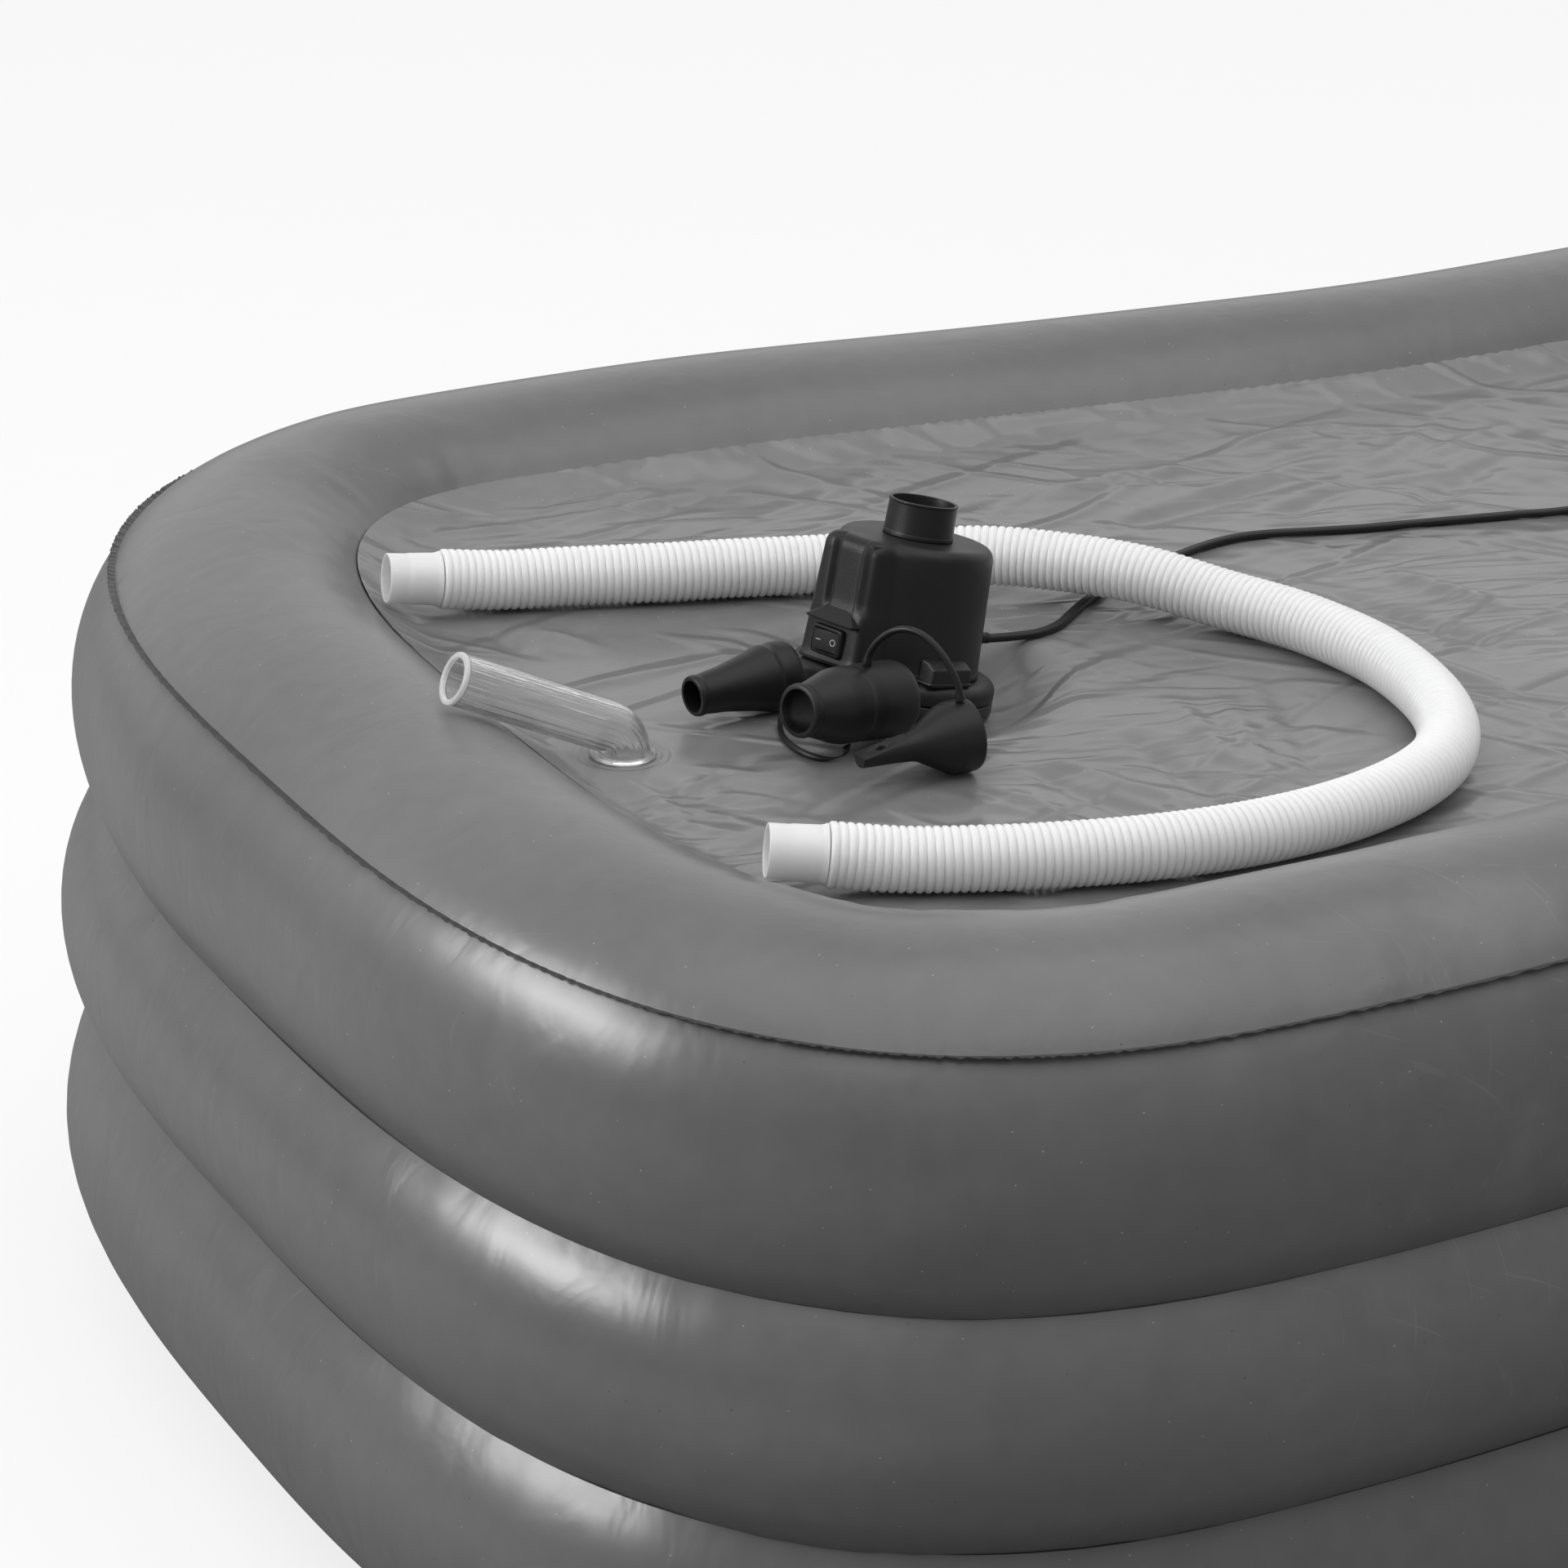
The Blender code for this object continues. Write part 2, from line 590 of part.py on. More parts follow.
def build_sheet():
    """The tub's floor sheet: welded at its edge, dented under the pump, with soft valleys where nothing lies."""
    rings = [
        (PATH - OUTWARD * WELD_INSET, WELD_LEVEL + TOUCH),
        (PATH - OUTWARD * (WELD_INSET + SHEET_STEP), SHEET_TOP),
    ]
    points = [at_height(ring, level) for ring, level in rings]
    dent = dent_outline(OVERRUN)
    points.append(dent)
    points.append(at_height(dent_outline(PUMP_DENT)[:, :2], SHEET_TOP))
    turn = np.arange(12) * math.tau / 12
    circle = np.stack([np.cos(turn), np.sin(turn)], axis=1)
    hole_radius = DRAIN_TUBE_RADIUS + TOUCH
    for radius in (hole_radius, DRAIN_FLANGE_RADIUS + OVERRUN):
        points.append(at_height(circle * radius + (DRAIN_X, DRAIN_Y), SHEET_TOP))
    loops = [len(p) for p in points]
    free = sheet_grid(points)
    everything = np.concatenate([*points, free])
    edges, start = [], 0
    for size in loops:
        edges += [(start + k, start + (k + 1) % size) for k in range(size)]
        start += size
    flat, _, triangles, origins, _, _ = delaunay_2d_cdt(
        [Vector(p[:2]) for p in everything], edges, [], 0, TOUCH / 100)
    heights = np.array([everything[origin[0]][2] for origin in origins])
    flat = np.array([tuple(p) for p in flat])
    centres = flat[np.array(triangles)].mean(axis=1)
    keep = inside(centres, points[0][:, :2]) & ~inside(centres, points[4][:, :2])
    top = np.array(triangles)[keep]
    upper = np.column_stack([flat, heights])
    lower = upper - (0, 0, SHEET_THICKNESS)
    faces = [*top.tolist(), *(top[:, ::-1] + len(flat)).tolist()]
    used = {}
    for a, b, c in top.tolist():
        for p, q in ((a, b), (b, c), (c, a)):
            used[(p, q)] = (q, p)
    for (p, q), opposite in used.items():
        if opposite not in used:
            faces.append((q, p, p + len(flat), q + len(flat)))
    solid("floor_sheet", np.concatenate([upper, lower]), faces, "floor_pvc")


def sheet_grid(fixed):
    """Free points of the sheet, away from its fixed rings, with valleys where nothing lies on it."""
    reach_x = HALF_STRAIGHT + END_REACH
    xs = np.arange(-reach_x, reach_x, SHEET_GRID) + SHEET_GRID / 2
    ys = np.arange(-HALF_WIDTH, HALF_WIDTH, SHEET_GRID) + SHEET_GRID / 2
    x, y = (values.ravel() for values in np.meshgrid(xs, ys))
    grid = np.stack([x, y], axis=1)
    edge = fixed[1][:, :2]
    away = np.min([np.linalg.norm(grid[:, None] - ring[None, :, :2], axis=2).min(axis=1) for ring in fixed], axis=0)
    blocked = inside(grid, fixed[3][:, :2]) | inside(grid, fixed[5][:, :2])
    grid = grid[inside(grid, edge) & ~blocked & (away > SHEET_GRID / 3)]
    laid = np.concatenate([np.array(HOSE_ROUTE)[:, :2], CORD_ROUTE, TAIL_ROUTE, [(COIL_X, COIL_Y)], fixed[3][:, :2]])
    clear = np.linalg.norm(grid[:, None] - laid[None], axis=2).min(axis=1)
    free = np.clip((clear - FLAT_MARGIN) / SHEET_GRID, 0, 1)
    wave = np.sin(math.tau * (grid[:, 0] + FOLD_SLANT_SHARE * grid[:, 1]) / FOLD_SPACING)
    return np.column_stack([grid, SHEET_TOP - FOLD_DEPTH * free * (1 + wave) / 2])


def inside(points, outline):
    """Which points lie inside a closed outline."""
    x, y = points[:, :1], points[:, 1:2]
    x0, y0 = outline[:, 0], outline[:, 1]
    x1, y1 = np.roll(x0, -1), np.roll(y0, -1)
    spans = (y0 > y) != (y1 > y)
    rise = np.where(y1 == y0, 1, y1 - y0)
    return (spans & (x < x0 + (y - y0) * (x1 - x0) / rise)).sum(axis=1) % 2 == 1


# The drain


def build_drain():
    """The clear elbow on the sheet, its flange below the sheet, and the stopper pushed in from the basin."""
    here = Matrix.Translation((DRAIN_X, DRAIN_Y, SHEET_TOP))
    bore = DRAIN_TUBE_RADIUS - DRAIN_WALL
    top = -SHEET_THICKNESS - TOUCH
    under = top - DRAIN_FLANGE_THICKNESS
    bottom = top - DRAIN_NECK_DEPTH
    turned("drain_flange", [(bore, bottom), (DRAIN_TUBE_RADIUS, bottom), (DRAIN_TUBE_RADIUS, under),
                            (DRAIN_FLANGE_RADIUS, under), (DRAIN_FLANGE_RADIUS, top), (bore, top)],
           "clear_pvc", matrix=here)
    plug_radius = bore - TOUCH
    head = bottom - TOUCH
    stopper = turned("drain_stopper", [
        (0, top), (plug_radius, top), (plug_radius, head), (STOPPER_HEAD_RADIUS, head),
        (STOPPER_HEAD_RADIUS, head - STOPPER_HEAD_THICKNESS), (0, head - STOPPER_HEAD_THICKNESS)],
        "black_rubber", matrix=here, ring=False)
    grip = box("stopper_tab_shape",
               (-STOPPER_TAB_WIDTH / 2, -STOPPER_TAB_THICKNESS / 2, head - STOPPER_HEAD_THICKNESS - STOPPER_TAB_LENGTH),
               (STOPPER_TAB_WIDTH / 2, STOPPER_TAB_THICKNESS / 2, head - STOPPER_HEAD_THICKNESS / 2),
               "black_rubber", matrix=here)
    combine(stopper, grip, "UNION")
    route = drain_route(TOUCH)
    elbow = make_mesh(tube("drain_elbow", route, DRAIN_TUBE_RADIUS, "clear_pvc", resolution=4))
    through = np.array([2 * route[0] - route[1], *route, 2 * route[-1] - route[-2]])
    combine(elbow, make_mesh(tube("drain_elbow_bore", through, bore, "clear_pvc", resolution=3)))


def drain_route(start):
    """The elbow's centreline: up from the flange, round the bend, then straight towards the tub's end."""
    heading = np.array([math.cos(DRAIN_HEADING), math.sin(DRAIN_HEADING), 0])
    up = np.array([0, 0, 1.0])
    foot = np.array([DRAIN_X, DRAIN_Y, SHEET_TOP + start])
    knee = foot + up * DRAIN_RISER
    angles = np.linspace(0, math.pi / 2 - DRAIN_RISE_ANGLE, 6)
    bend = [knee + DRAIN_BEND_RADIUS * (heading * (1 - math.cos(a)) + up * math.sin(a)) for a in angles]
    last = angles[-1]
    straight = heading * math.sin(last) + up * math.cos(last)
    return np.array([foot, *bend, *(bend[-1] + straight * DRAIN_LENGTH * share for share in (0.2, 1))])


def make_mesh(obj):
    """Turns a curve object into a mesh object of the same name, so that a Boolean takes it."""
    graph = bpy.context.evaluated_depsgraph_get()
    mesh = bpy.data.meshes.new_from_object(obj.evaluated_get(graph))
    name, parent, matrix = obj.name, obj.parent, obj.matrix_local.copy()
    finish = obj.data.materials[0].name
    bpy.data.objects.remove(obj, do_unlink=True)
    shape = bmesh.new()
    shape.from_mesh(mesh)
    bmesh.ops.remove_doubles(shape, verts=shape.verts, dist=TOUCH / 100)
    bmesh.ops.recalc_face_normals(shape, faces=shape.faces)
    shape.to_mesh(mesh)
    shape.free()
    mesh.materials.clear()
    mesh.shade_smooth()
    return place(bpy.data.objects.new(name, mesh), finish, parent, matrix)


# The valves


def build_valves():
    """One valve on each chamber's far side: the welded body, the screwed insert and the hinged cap."""
    for name, chamber, step in (("rim", RIM, -1), ("middle", MIDDLE, 0), ("base", BASE, 1)):
        x = step * VALVE_SPACING
        wall = far_wall(SECTIONS[name], x, chamber[0], VALVE_FLANGE_RADIUS)
        here = frame_along((x, wall + TOUCH, chamber[0]), (0, 1, 0), (1, 0, 0))
        flange_top = VALVE_FLANGE_THICKNESS
        neck_top = flange_top + VALVE_NECK_HEIGHT
        body = turned(f"{name}_valve_body", [
            (VALVE_BORE_RADIUS, 0), (VALVE_FLANGE_RADIUS, 0), (VALVE_FLANGE_RADIUS, flange_top),
            (VALVE_NECK_RADIUS, flange_top), (VALVE_NECK_RADIUS, neck_top), (VALVE_BORE_RADIUS, neck_top)],
            "black_plastic", matrix=here, steps=16)
        axis_x = VALVE_NECK_RADIUS * VALVE_HINGE_SHARE
        axis_z = neck_top + TOUCH + VALVE_CAP_THICKNESS / 2
        post = box(f"{name}_valve_post_shape", (axis_x - VALVE_LUG_RADIUS, -VALVE_LUG_WIDTH / 2, flange_top / 2),
                   (axis_x + VALVE_LUG_RADIUS, VALVE_LUG_WIDTH / 2, axis_z - VALVE_CAP_THICKNESS),
                   "black_plastic", matrix=here)
        combine(body, post, "UNION")
        plug = VALVE_BORE_RADIUS - TOUCH
        turned(f"{name}_valve_insert", [
            (0, 0), (plug, 0), (plug, neck_top - VALVE_SEAT_DEPTH), (VALVE_STEM_RADIUS, neck_top - VALVE_SEAT_DEPTH),
            (VALVE_STEM_RADIUS, neck_top - TOUCH), (0, neck_top - TOUCH)], "black_plastic", matrix=here, steps=16,
            ring=False)
        build_valve_cap(name, here, axis_x, axis_z)


def build_valve_cap(name, here, axis_x, axis_z):
    """The cap: a lid with a short skirt round the neck, and an ear to its hinge."""
    hinge = here @ Matrix.Translation((axis_x, 0, axis_z))
    inner = VALVE_NECK_RADIUS + RUNNING
    outer = inner + VALVE_CAP_WALL
    top = VALVE_CAP_THICKNESS / 2
    skirt = -top - TOUCH - VALVE_CAP_SKIRT
    cap = turned(f"{name}_valve_cap", [(0, -top), (inner, -top), (inner, skirt), (outer, skirt), (outer, top), (0, top)],
                 "black_plastic", matrix=hinge, steps=16, ring=False)
    cap.data.transform(Matrix.Translation((-axis_x, 0, 0)))
    ear = box(f"{name}_valve_ear_shape", (inner - axis_x - VALVE_CAP_WALL, -VALVE_LUG_WIDTH / 2, -top),
              (VALVE_LUG_RADIUS, VALVE_LUG_WIDTH / 2, top), "black_plastic", matrix=hinge)
    combine(cap, ear, "UNION")


# The hose


def build_hose():
    """The ribbed hose with its bore, and a smooth cuff on each end."""
    centre = SHEET_TOP + TOUCH + HOSE_RADIUS
    lift = 2 * CORD_RADIUS + 2 * TOUCH
    route = []
    for x, y, rise in HOSE_ROUTE:
        near = math.hypot(x - CROSSING[0], y - CROSSING[1])
        route.append((x, y, centre + rise + lift * math.exp(-((near / CROSSING_SPREAD) ** 4))))
    whole = smooth_curve(route, 400)
    along = np.concatenate([[0], np.cumsum(np.linalg.norm(np.diff(whole, axis=0), axis=1))])
    total = along[-1]

    def point_at(distance):
        return np.array([np.interp(distance, along, whole[:, k]) for k in range(3)])

    start, stop = CUFF_LENGTH + TOUCH, total - CUFF_LENGTH - TOUCH
    straight = 2 * HOSE_RADIUS
    stations = np.linspace(start + straight / 2, stop - straight / 2, 2 * HOSE_RIBS)
    points = [point_at(start), *(point_at(s) for s in stations), point_at(stop)]
    valley = 1 - HOSE_GROOVE / HOSE_RADIUS
    radii = [valley, *([1, valley] * HOSE_RIBS), valley]
    hose = make_mesh(tube("hose", points, HOSE_RADIUS, "white_hose", radii=radii))
    bore_points = [point_at(s) for s in np.linspace(start, stop, HOSE_BORE_POINTS)]
    bore_points[0] = bore_points[0] + (bore_points[0] - bore_points[1]) / 4
    bore_points[-1] = bore_points[-1] + (bore_points[-1] - bore_points[-2]) / 4
    bore = HOSE_RADIUS - HOSE_GROOVE - HOSE_WALL
    combine(hose, make_mesh(tube("hose_bore", bore_points, bore, "white_hose", resolution=1)))
    inner = CUFF_RADIUS - CUFF_WALL
    for name, end, side in (("far_cuff", 0, 1), ("near_cuff", total, -1)):
        mouth = point_at(end)
        root = point_at(end + side * CUFF_LENGTH)
        here = frame_along(mouth, root - mouth, (0, 0, 1))
        turned(name, [(inner, 0), (CUFF_RADIUS, 0), (CUFF_RADIUS, CUFF_LENGTH - TOUCH),
                      (inner, CUFF_LENGTH - TOUCH)], "white_hose", matrix=here, steps=16)
    print(f"hose length {total:.4f} m")


# The pump


def build_pump(pump):
    plate_top = BASE_PLATE_HEIGHT
    cover_low, cover_top = plate_top + TOUCH, plate_top + TOUCH + BASE_COVER_HEIGHT
    body_low = cover_top + TOUCH
    body_top = body_low + BODY_HEIGHT
    build_base(pump, plate_top, cover_low, cover_top)
    build_housing(pump, body_low, body_top)
    lip = SPOUT_RADIUS + SPOUT_LIP
    inner = SPOUT_RADIUS - SPOUT_WALL
    under = body_top - BODY_WALL - TOUCH
    turned("spout", [(inner, under - BODY_WALL), (lip, under - BODY_WALL), (lip, under), (SPOUT_RADIUS, under),
                     (SPOUT_RADIUS, body_top + SPOUT_HEIGHT), (inner, body_top + SPOUT_HEIGHT)],
           "black_plastic", pump, steps=24)
    build_motor(pump, body_low)
    build_switch(pump, body_low)


def build_base(pump, plate_top, cover_low, cover_top):
    """The base in two halves: a tray with intake slots, and the cover above the seam."""
    edge = BASE_WALL / 2
    tray = loft("base_plate", [
        at_height(base_outline(BASE_WALL), BASE_WALL), at_height(base_outline(BASE_WALL), plate_top),
        at_height(base_outline(), plate_top), at_height(base_outline(), edge), at_height(base_outline(edge), 0)],
        "black_plastic", pump)
    for k in range(SLOT_COUNT):
        y = (k - (SLOT_COUNT - 1) / 2) * SLOT_SPACING
        half = math.sqrt(IMPELLER_RADIUS**2 - y**2) - BASE_WALL
        slot = box(f"slot_shape_{k + 1}", (-half, y - SLOT_WIDTH / 2, -OVERRUN),
                   (half, y + SLOT_WIDTH / 2, BASE_WALL + OVERRUN), "black_plastic", pump)
        combine(tray, slot)
    inner = housing_outline(BODY_WALL)
    loft("base_cover", [
        at_height(inner, cover_low), at_height(inner, cover_top), at_height(base_outline(BASE_WALL), cover_top),
        at_height(base_outline(), cover_top - BASE_WALL), at_height(base_outline(), cover_low)],
        "black_plastic", pump, closed=True)
    reach = BODY_RADIUS + BASE_OVERHANG - SCREW_INSET
    for k in range(SCREW_COUNT):
        angle = (k + 0.5) * math.tau / SCREW_COUNT
        spot = Matrix.Translation((reach * math.cos(angle), reach * math.sin(angle), 0))
        hole = turned(f"screw_hole_shape_{k + 1}", [(0, -OVERRUN), (SCREW_RADIUS + TOUCH, -OVERRUN),
                                                    (SCREW_RADIUS + TOUCH, BASE_WALL + OVERRUN),
                                                    (0, BASE_WALL + OVERRUN)],
                      "black_plastic", pump, spot, steps=8, ring=False)
        combine(tray, hole)
        shank = SCREW_RADIUS / 2
        turned(f"base_screw_{k + 1}", [(0, TOUCH), (SCREW_RADIUS, TOUCH), (SCREW_RADIUS, BASE_WALL),
                                       (shank, BASE_WALL), (shank, SCREW_LENGTH), (0, SCREW_LENGTH)],
               "steel", pump, spot, steps=8, ring=False)


def build_housing(pump, low, top):
    """The upper housing: a tapering shell, open below, with flutes, a hood over the switch and a boss."""
    shell = loft("pump_housing", [
        at_height(housing_outline(BODY_DRAFT + BODY_WALL), top - BODY_WALL),
        at_height(housing_outline(BODY_WALL), low), at_height(housing_outline(), low),
        at_height(housing_outline(BODY_DRAFT), top - BODY_EDGE),
        at_height(housing_outline(BODY_DRAFT + BODY_EDGE / 3), top - BODY_EDGE / 3),
        at_height(housing_outline(BODY_DRAFT + BODY_EDGE), top)], "black_plastic", pump)
    hole = turned("spout_hole_shape", [(0, top - BODY_HEIGHT / 2), (SPOUT_RADIUS + TOUCH, top - BODY_HEIGHT / 2),
                                       (SPOUT_RADIUS + TOUCH, top + OVERRUN), (0, top + OVERRUN)],
                  "black_plastic", pump, steps=24, ring=False)
    combine(shell, hole)
    face = BLOCK_REACH
    hood_low = low + SWITCH_LEVEL + BEZEL_HEIGHT / 2 + OVERRUN
    hood = loft("hood_shape", [
        hood_section(-HOOD_WIDTH / 2, face, hood_low), hood_section(HOOD_WIDTH / 2, face, hood_low)],
        "black_plastic", pump)
    combine(shell, hood, "UNION")
    for side in (-1, 1):
        y = side * FLUTE_OFFSET
        flute = box(f"flute_shape_{side + 2}", (face - BODY_DRAFT - FLUTE_DEPTH, y - FLUTE_WIDTH / 2,
                                                hood_low + HOOD_HEIGHT),
                    (face + OVERRUN, y + FLUTE_WIDTH / 2, top + OVERRUN), "black_plastic", pump)
        combine(shell, flute)
    boss = box("boss_shape", (BOSS_OFFSET - BOSS_WIDTH / 2, BODY_RADIUS - 2 * BODY_WALL, low),
               (BOSS_OFFSET + BOSS_WIDTH / 2, BODY_RADIUS + BOSS_REACH, low + BOSS_HEIGHT), "black_plastic", pump)
    combine(shell, boss, "UNION")
    window = box("switch_window_shape", (face - BODY_WALL - BODY_DRAFT - OVERRUN, -BEZEL_WIDTH / 2 + BEZEL_FRAME / 2,
                                         low + SWITCH_LEVEL - BEZEL_HEIGHT / 2 + BEZEL_FRAME / 2),
                 (face + OVERRUN, BEZEL_WIDTH / 2 - BEZEL_FRAME / 2,
                  low + SWITCH_LEVEL + BEZEL_HEIGHT / 2 - BEZEL_FRAME / 2), "black_plastic", pump)
    combine(shell, window)
    relief = turned("relief_hole_shape", [(0, -OVERRUN), (RELIEF_RADIUS + TOUCH, -OVERRUN),
                                          (RELIEF_RADIUS + TOUCH, BODY_WALL + BODY_DRAFT + OVERRUN),
                                          (0, BODY_WALL + BODY_DRAFT + OVERRUN)], "black_plastic", pump,
                    frame_along((-BODY_RADIUS - OVERRUN / 2, 0, low + RELIEF_LEVEL), (1, 0, 0), (0, 0, 1)),
                    steps=12, ring=False)
    combine(shell, relief)


def hood_section(y, face, low):
    """The hood's side outline: a lip that slopes back into the face above it."""
    root = face - BODY_WALL
    return np.array([(root, y, low), (face + HOOD_REACH, y, low), (face + HOOD_REACH, y, low + HOOD_HEIGHT / 5),
                     (root, y, low + HOOD_HEIGHT)])


def build_motor(pump, low):
    """Motor, its plate, its shaft and the impeller below the plate."""
    plate_low = low + MOTOR_PLATE_LEVEL
    plate_top = plate_low + MOTOR_PLATE_THICKNESS
    plate_radius = BODY_RADIUS - 2 * BODY_WALL - TOUCH
    bore = SHAFT_RADIUS + RUNNING
    turned("motor_plate", [(bore, plate_low), (plate_radius, plate_low), (plate_radius, plate_top),
                           (bore, plate_top)], "black_plastic", pump, steps=24)
    motor_low = plate_top + TOUCH
    turned("motor", [(bore, motor_low), (MOTOR_RADIUS, motor_low), (MOTOR_RADIUS, motor_low + MOTOR_LENGTH),
                     (bore, motor_low + MOTOR_LENGTH)], "steel", pump, steps=16)
    disc_top = plate_low - 2 * RUNNING
    disc_low = disc_top - IMPELLER_DISC
    turned("motor_shaft", [(0, disc_top + TOUCH), (SHAFT_RADIUS, disc_top + TOUCH),
                           (SHAFT_RADIUS, motor_low + MOTOR_LENGTH + SHAFT_STUB),
                           (0, motor_low + MOTOR_LENGTH + SHAFT_STUB)], "steel", pump, steps=12, ring=False)
    impeller = turned("impeller", [(0, disc_low), (IMPELLER_RADIUS, disc_low), (IMPELLER_RADIUS, disc_top),
                                   (0, disc_top)], "black_plastic", pump, steps=24, ring=False)
    hub = turned("impeller_hub_shape", [(0, disc_low - IMPELLER_BLADE_HEIGHT),
                                        (IMPELLER_HUB_RADIUS, disc_low - IMPELLER_BLADE_HEIGHT),
                                        (IMPELLER_HUB_RADIUS, disc_low + IMPELLER_DISC / 2),
                                        (0, disc_low + IMPELLER_DISC / 2)], "black_plastic", pump, steps=12,
                 ring=False)
    combine(impeller, hub, "UNION")
    half = IMPELLER_BLADE_THICKNESS / 2
    for k in range(IMPELLER_BLADES):
        blade = box(f"impeller_blade_shape_{k + 1}", (IMPELLER_HUB_RADIUS / 2, -half, disc_low - IMPELLER_BLADE_HEIGHT),
                    (IMPELLER_RADIUS - half, half, disc_low + IMPELLER_DISC / 2), "black_plastic", pump,
                    Matrix.Rotation(k * math.tau / IMPELLER_BLADES, 4, "Z"))
        combine(impeller, blade, "UNION")


def build_switch(pump, low):
    """The rocker switch: its bezel and body in the housing's window, and the rocker on its pivot."""
    level = low + SWITCH_LEVEL
    face = BLOCK_REACH
    here = frame_along((face + TOUCH, 0, level), (1, 0, 0), (0, 1, 0))
    half_width, half_height = BEZEL_WIDTH / 2, BEZEL_HEIGHT / 2
    bezel = box("switch_bezel", (-half_width, -half_height, 0), (half_width, half_height, BEZEL_THICKNESS),
                "black_plastic", pump, here)
    stem = BEZEL_FRAME / 2 + TOUCH
    back = box("switch_stem_shape", (-half_width + stem, -half_height + stem, -SWITCH_DEPTH),
               (half_width - stem, half_height - stem, BEZEL_THICKNESS / 2), "black_plastic", pump, here)
    combine(bezel, back, "UNION")
    well = box("switch_well_shape", (-half_width + BEZEL_FRAME, -half_height + BEZEL_FRAME,
                                     -SWITCH_DEPTH + BEZEL_FRAME),
               (half_width - BEZEL_FRAME, half_height - BEZEL_FRAME, BEZEL_THICKNESS + OVERRUN), "black_plastic",
               pump, here)
    combine(bezel, well)
    half_key = half_width - BEZEL_FRAME - RUNNING
    reach = half_height - BEZEL_FRAME - RUNNING
    turn = np.linspace(-1, 1, 7)
    crown = BEZEL_THICKNESS + RUNNING
    span = half_key * math.cos(ROCKER_TILT)
    dish = BEZEL_THICKNESS / 4
    profile = [(span * t, crown + dish * (t * t - 1)) for t in turn]
    root = -BEZEL_THICKNESS
    outline = [*profile, (span * ROCKER_ROOT_SHARE, root), (-span * ROCKER_ROOT_SHARE, root)]
    sections = [np.array([(x, y, z) for x, z in outline]) for y in (-reach, reach)]
    pivot = here @ Matrix.Rotation(ROCKER_TILT, 4, "Y")
    loft("rocker", sections, "black_plastic", pump, pivot)


# The nozzles


def nozzle_place(mouth, heading, rise):
    """A nozzle's place: local Z from its mouth to its socket, local X upwards. Its mouth is given from the pump."""
    direction = (math.cos(heading) * math.cos(rise), math.sin(heading) * math.cos(rise), math.sin(rise))
    return frame_along((PUMP_X + mouth[0], PUMP_Y + mouth[1], SHEET_TOP + mouth[2]), direction, (0, 0, 1))


def build_nozzle(name, place_at, mouth_radius, socket_radius, length, shares):
    """A turned rubber shell, from its mouth at local zero to its socket."""
    outside = [(mouth_radius + (socket_radius - mouth_radius) * swell, length * along) for swell, along in shares]
    inside_points = [(radius - NOZZLE_WALL, height) for radius, height in outside[::-1]]
    turned(name, [*outside, *inside_points], "black_rubber", matrix=place_at, steps=16)


def build_nozzles():
    narrow = nozzle_place(NARROW_MOUTH, NARROW_HEADING, NARROW_RISE)
    wide = nozzle_place(WIDE_MOUTH, WIDE_HEADING, WIDE_RISE)
    pinch = nozzle_place(PINCH_TIP, PINCH_HEADING, PINCH_RISE)
    build_nozzle("narrow_nozzle", narrow, NARROW_MOUTH_RADIUS, NARROW_SOCKET_RADIUS, NARROW_LENGTH, NARROW_SHARES)
    build_nozzle("wide_nozzle", wide, WIDE_MOUTH_RADIUS, WIDE_SOCKET_RADIUS, WIDE_LENGTH, WIDE_SHARES)
    build_nozzle("pinch_nozzle", pinch, PINCH_TIP_RADIUS, PINCH_SOCKET_RADIUS, PINCH_LENGTH, PINCH_SHARES)
    stand_off = TETHER_RADIUS + TOUCH
    clearance = RUNNING + TOUCH
    start = wide @ Vector((WIDE_SOCKET_RADIUS + clearance, 0, WIDE_LENGTH * ARCH_START_SHARE))
    stop = pinch @ Vector((PINCH_SOCKET_RADIUS + clearance, 0, PINCH_LENGTH * ARCH_STOP_SHARE))
    arch = []
    for share in np.linspace(0, 1, ARCH_POINTS):
        rise = ARCH_HEIGHT * math.sin(math.pi * share) ** ARCH_POWER
        arch.append(start.lerp(stop, share) + Vector((0, 0, rise)))
    tube("upper_tether", arch, TETHER_RADIUS, "black_rubber")
    low = SHEET_TOP + stand_off
    loop = smooth_curve([(x, y, low + lift) for x, y, lift in LOWER_TETHER_ROUTE], 17)
    tube("lower_tether", loop, TETHER_RADIUS, "black_rubber")


# The cord


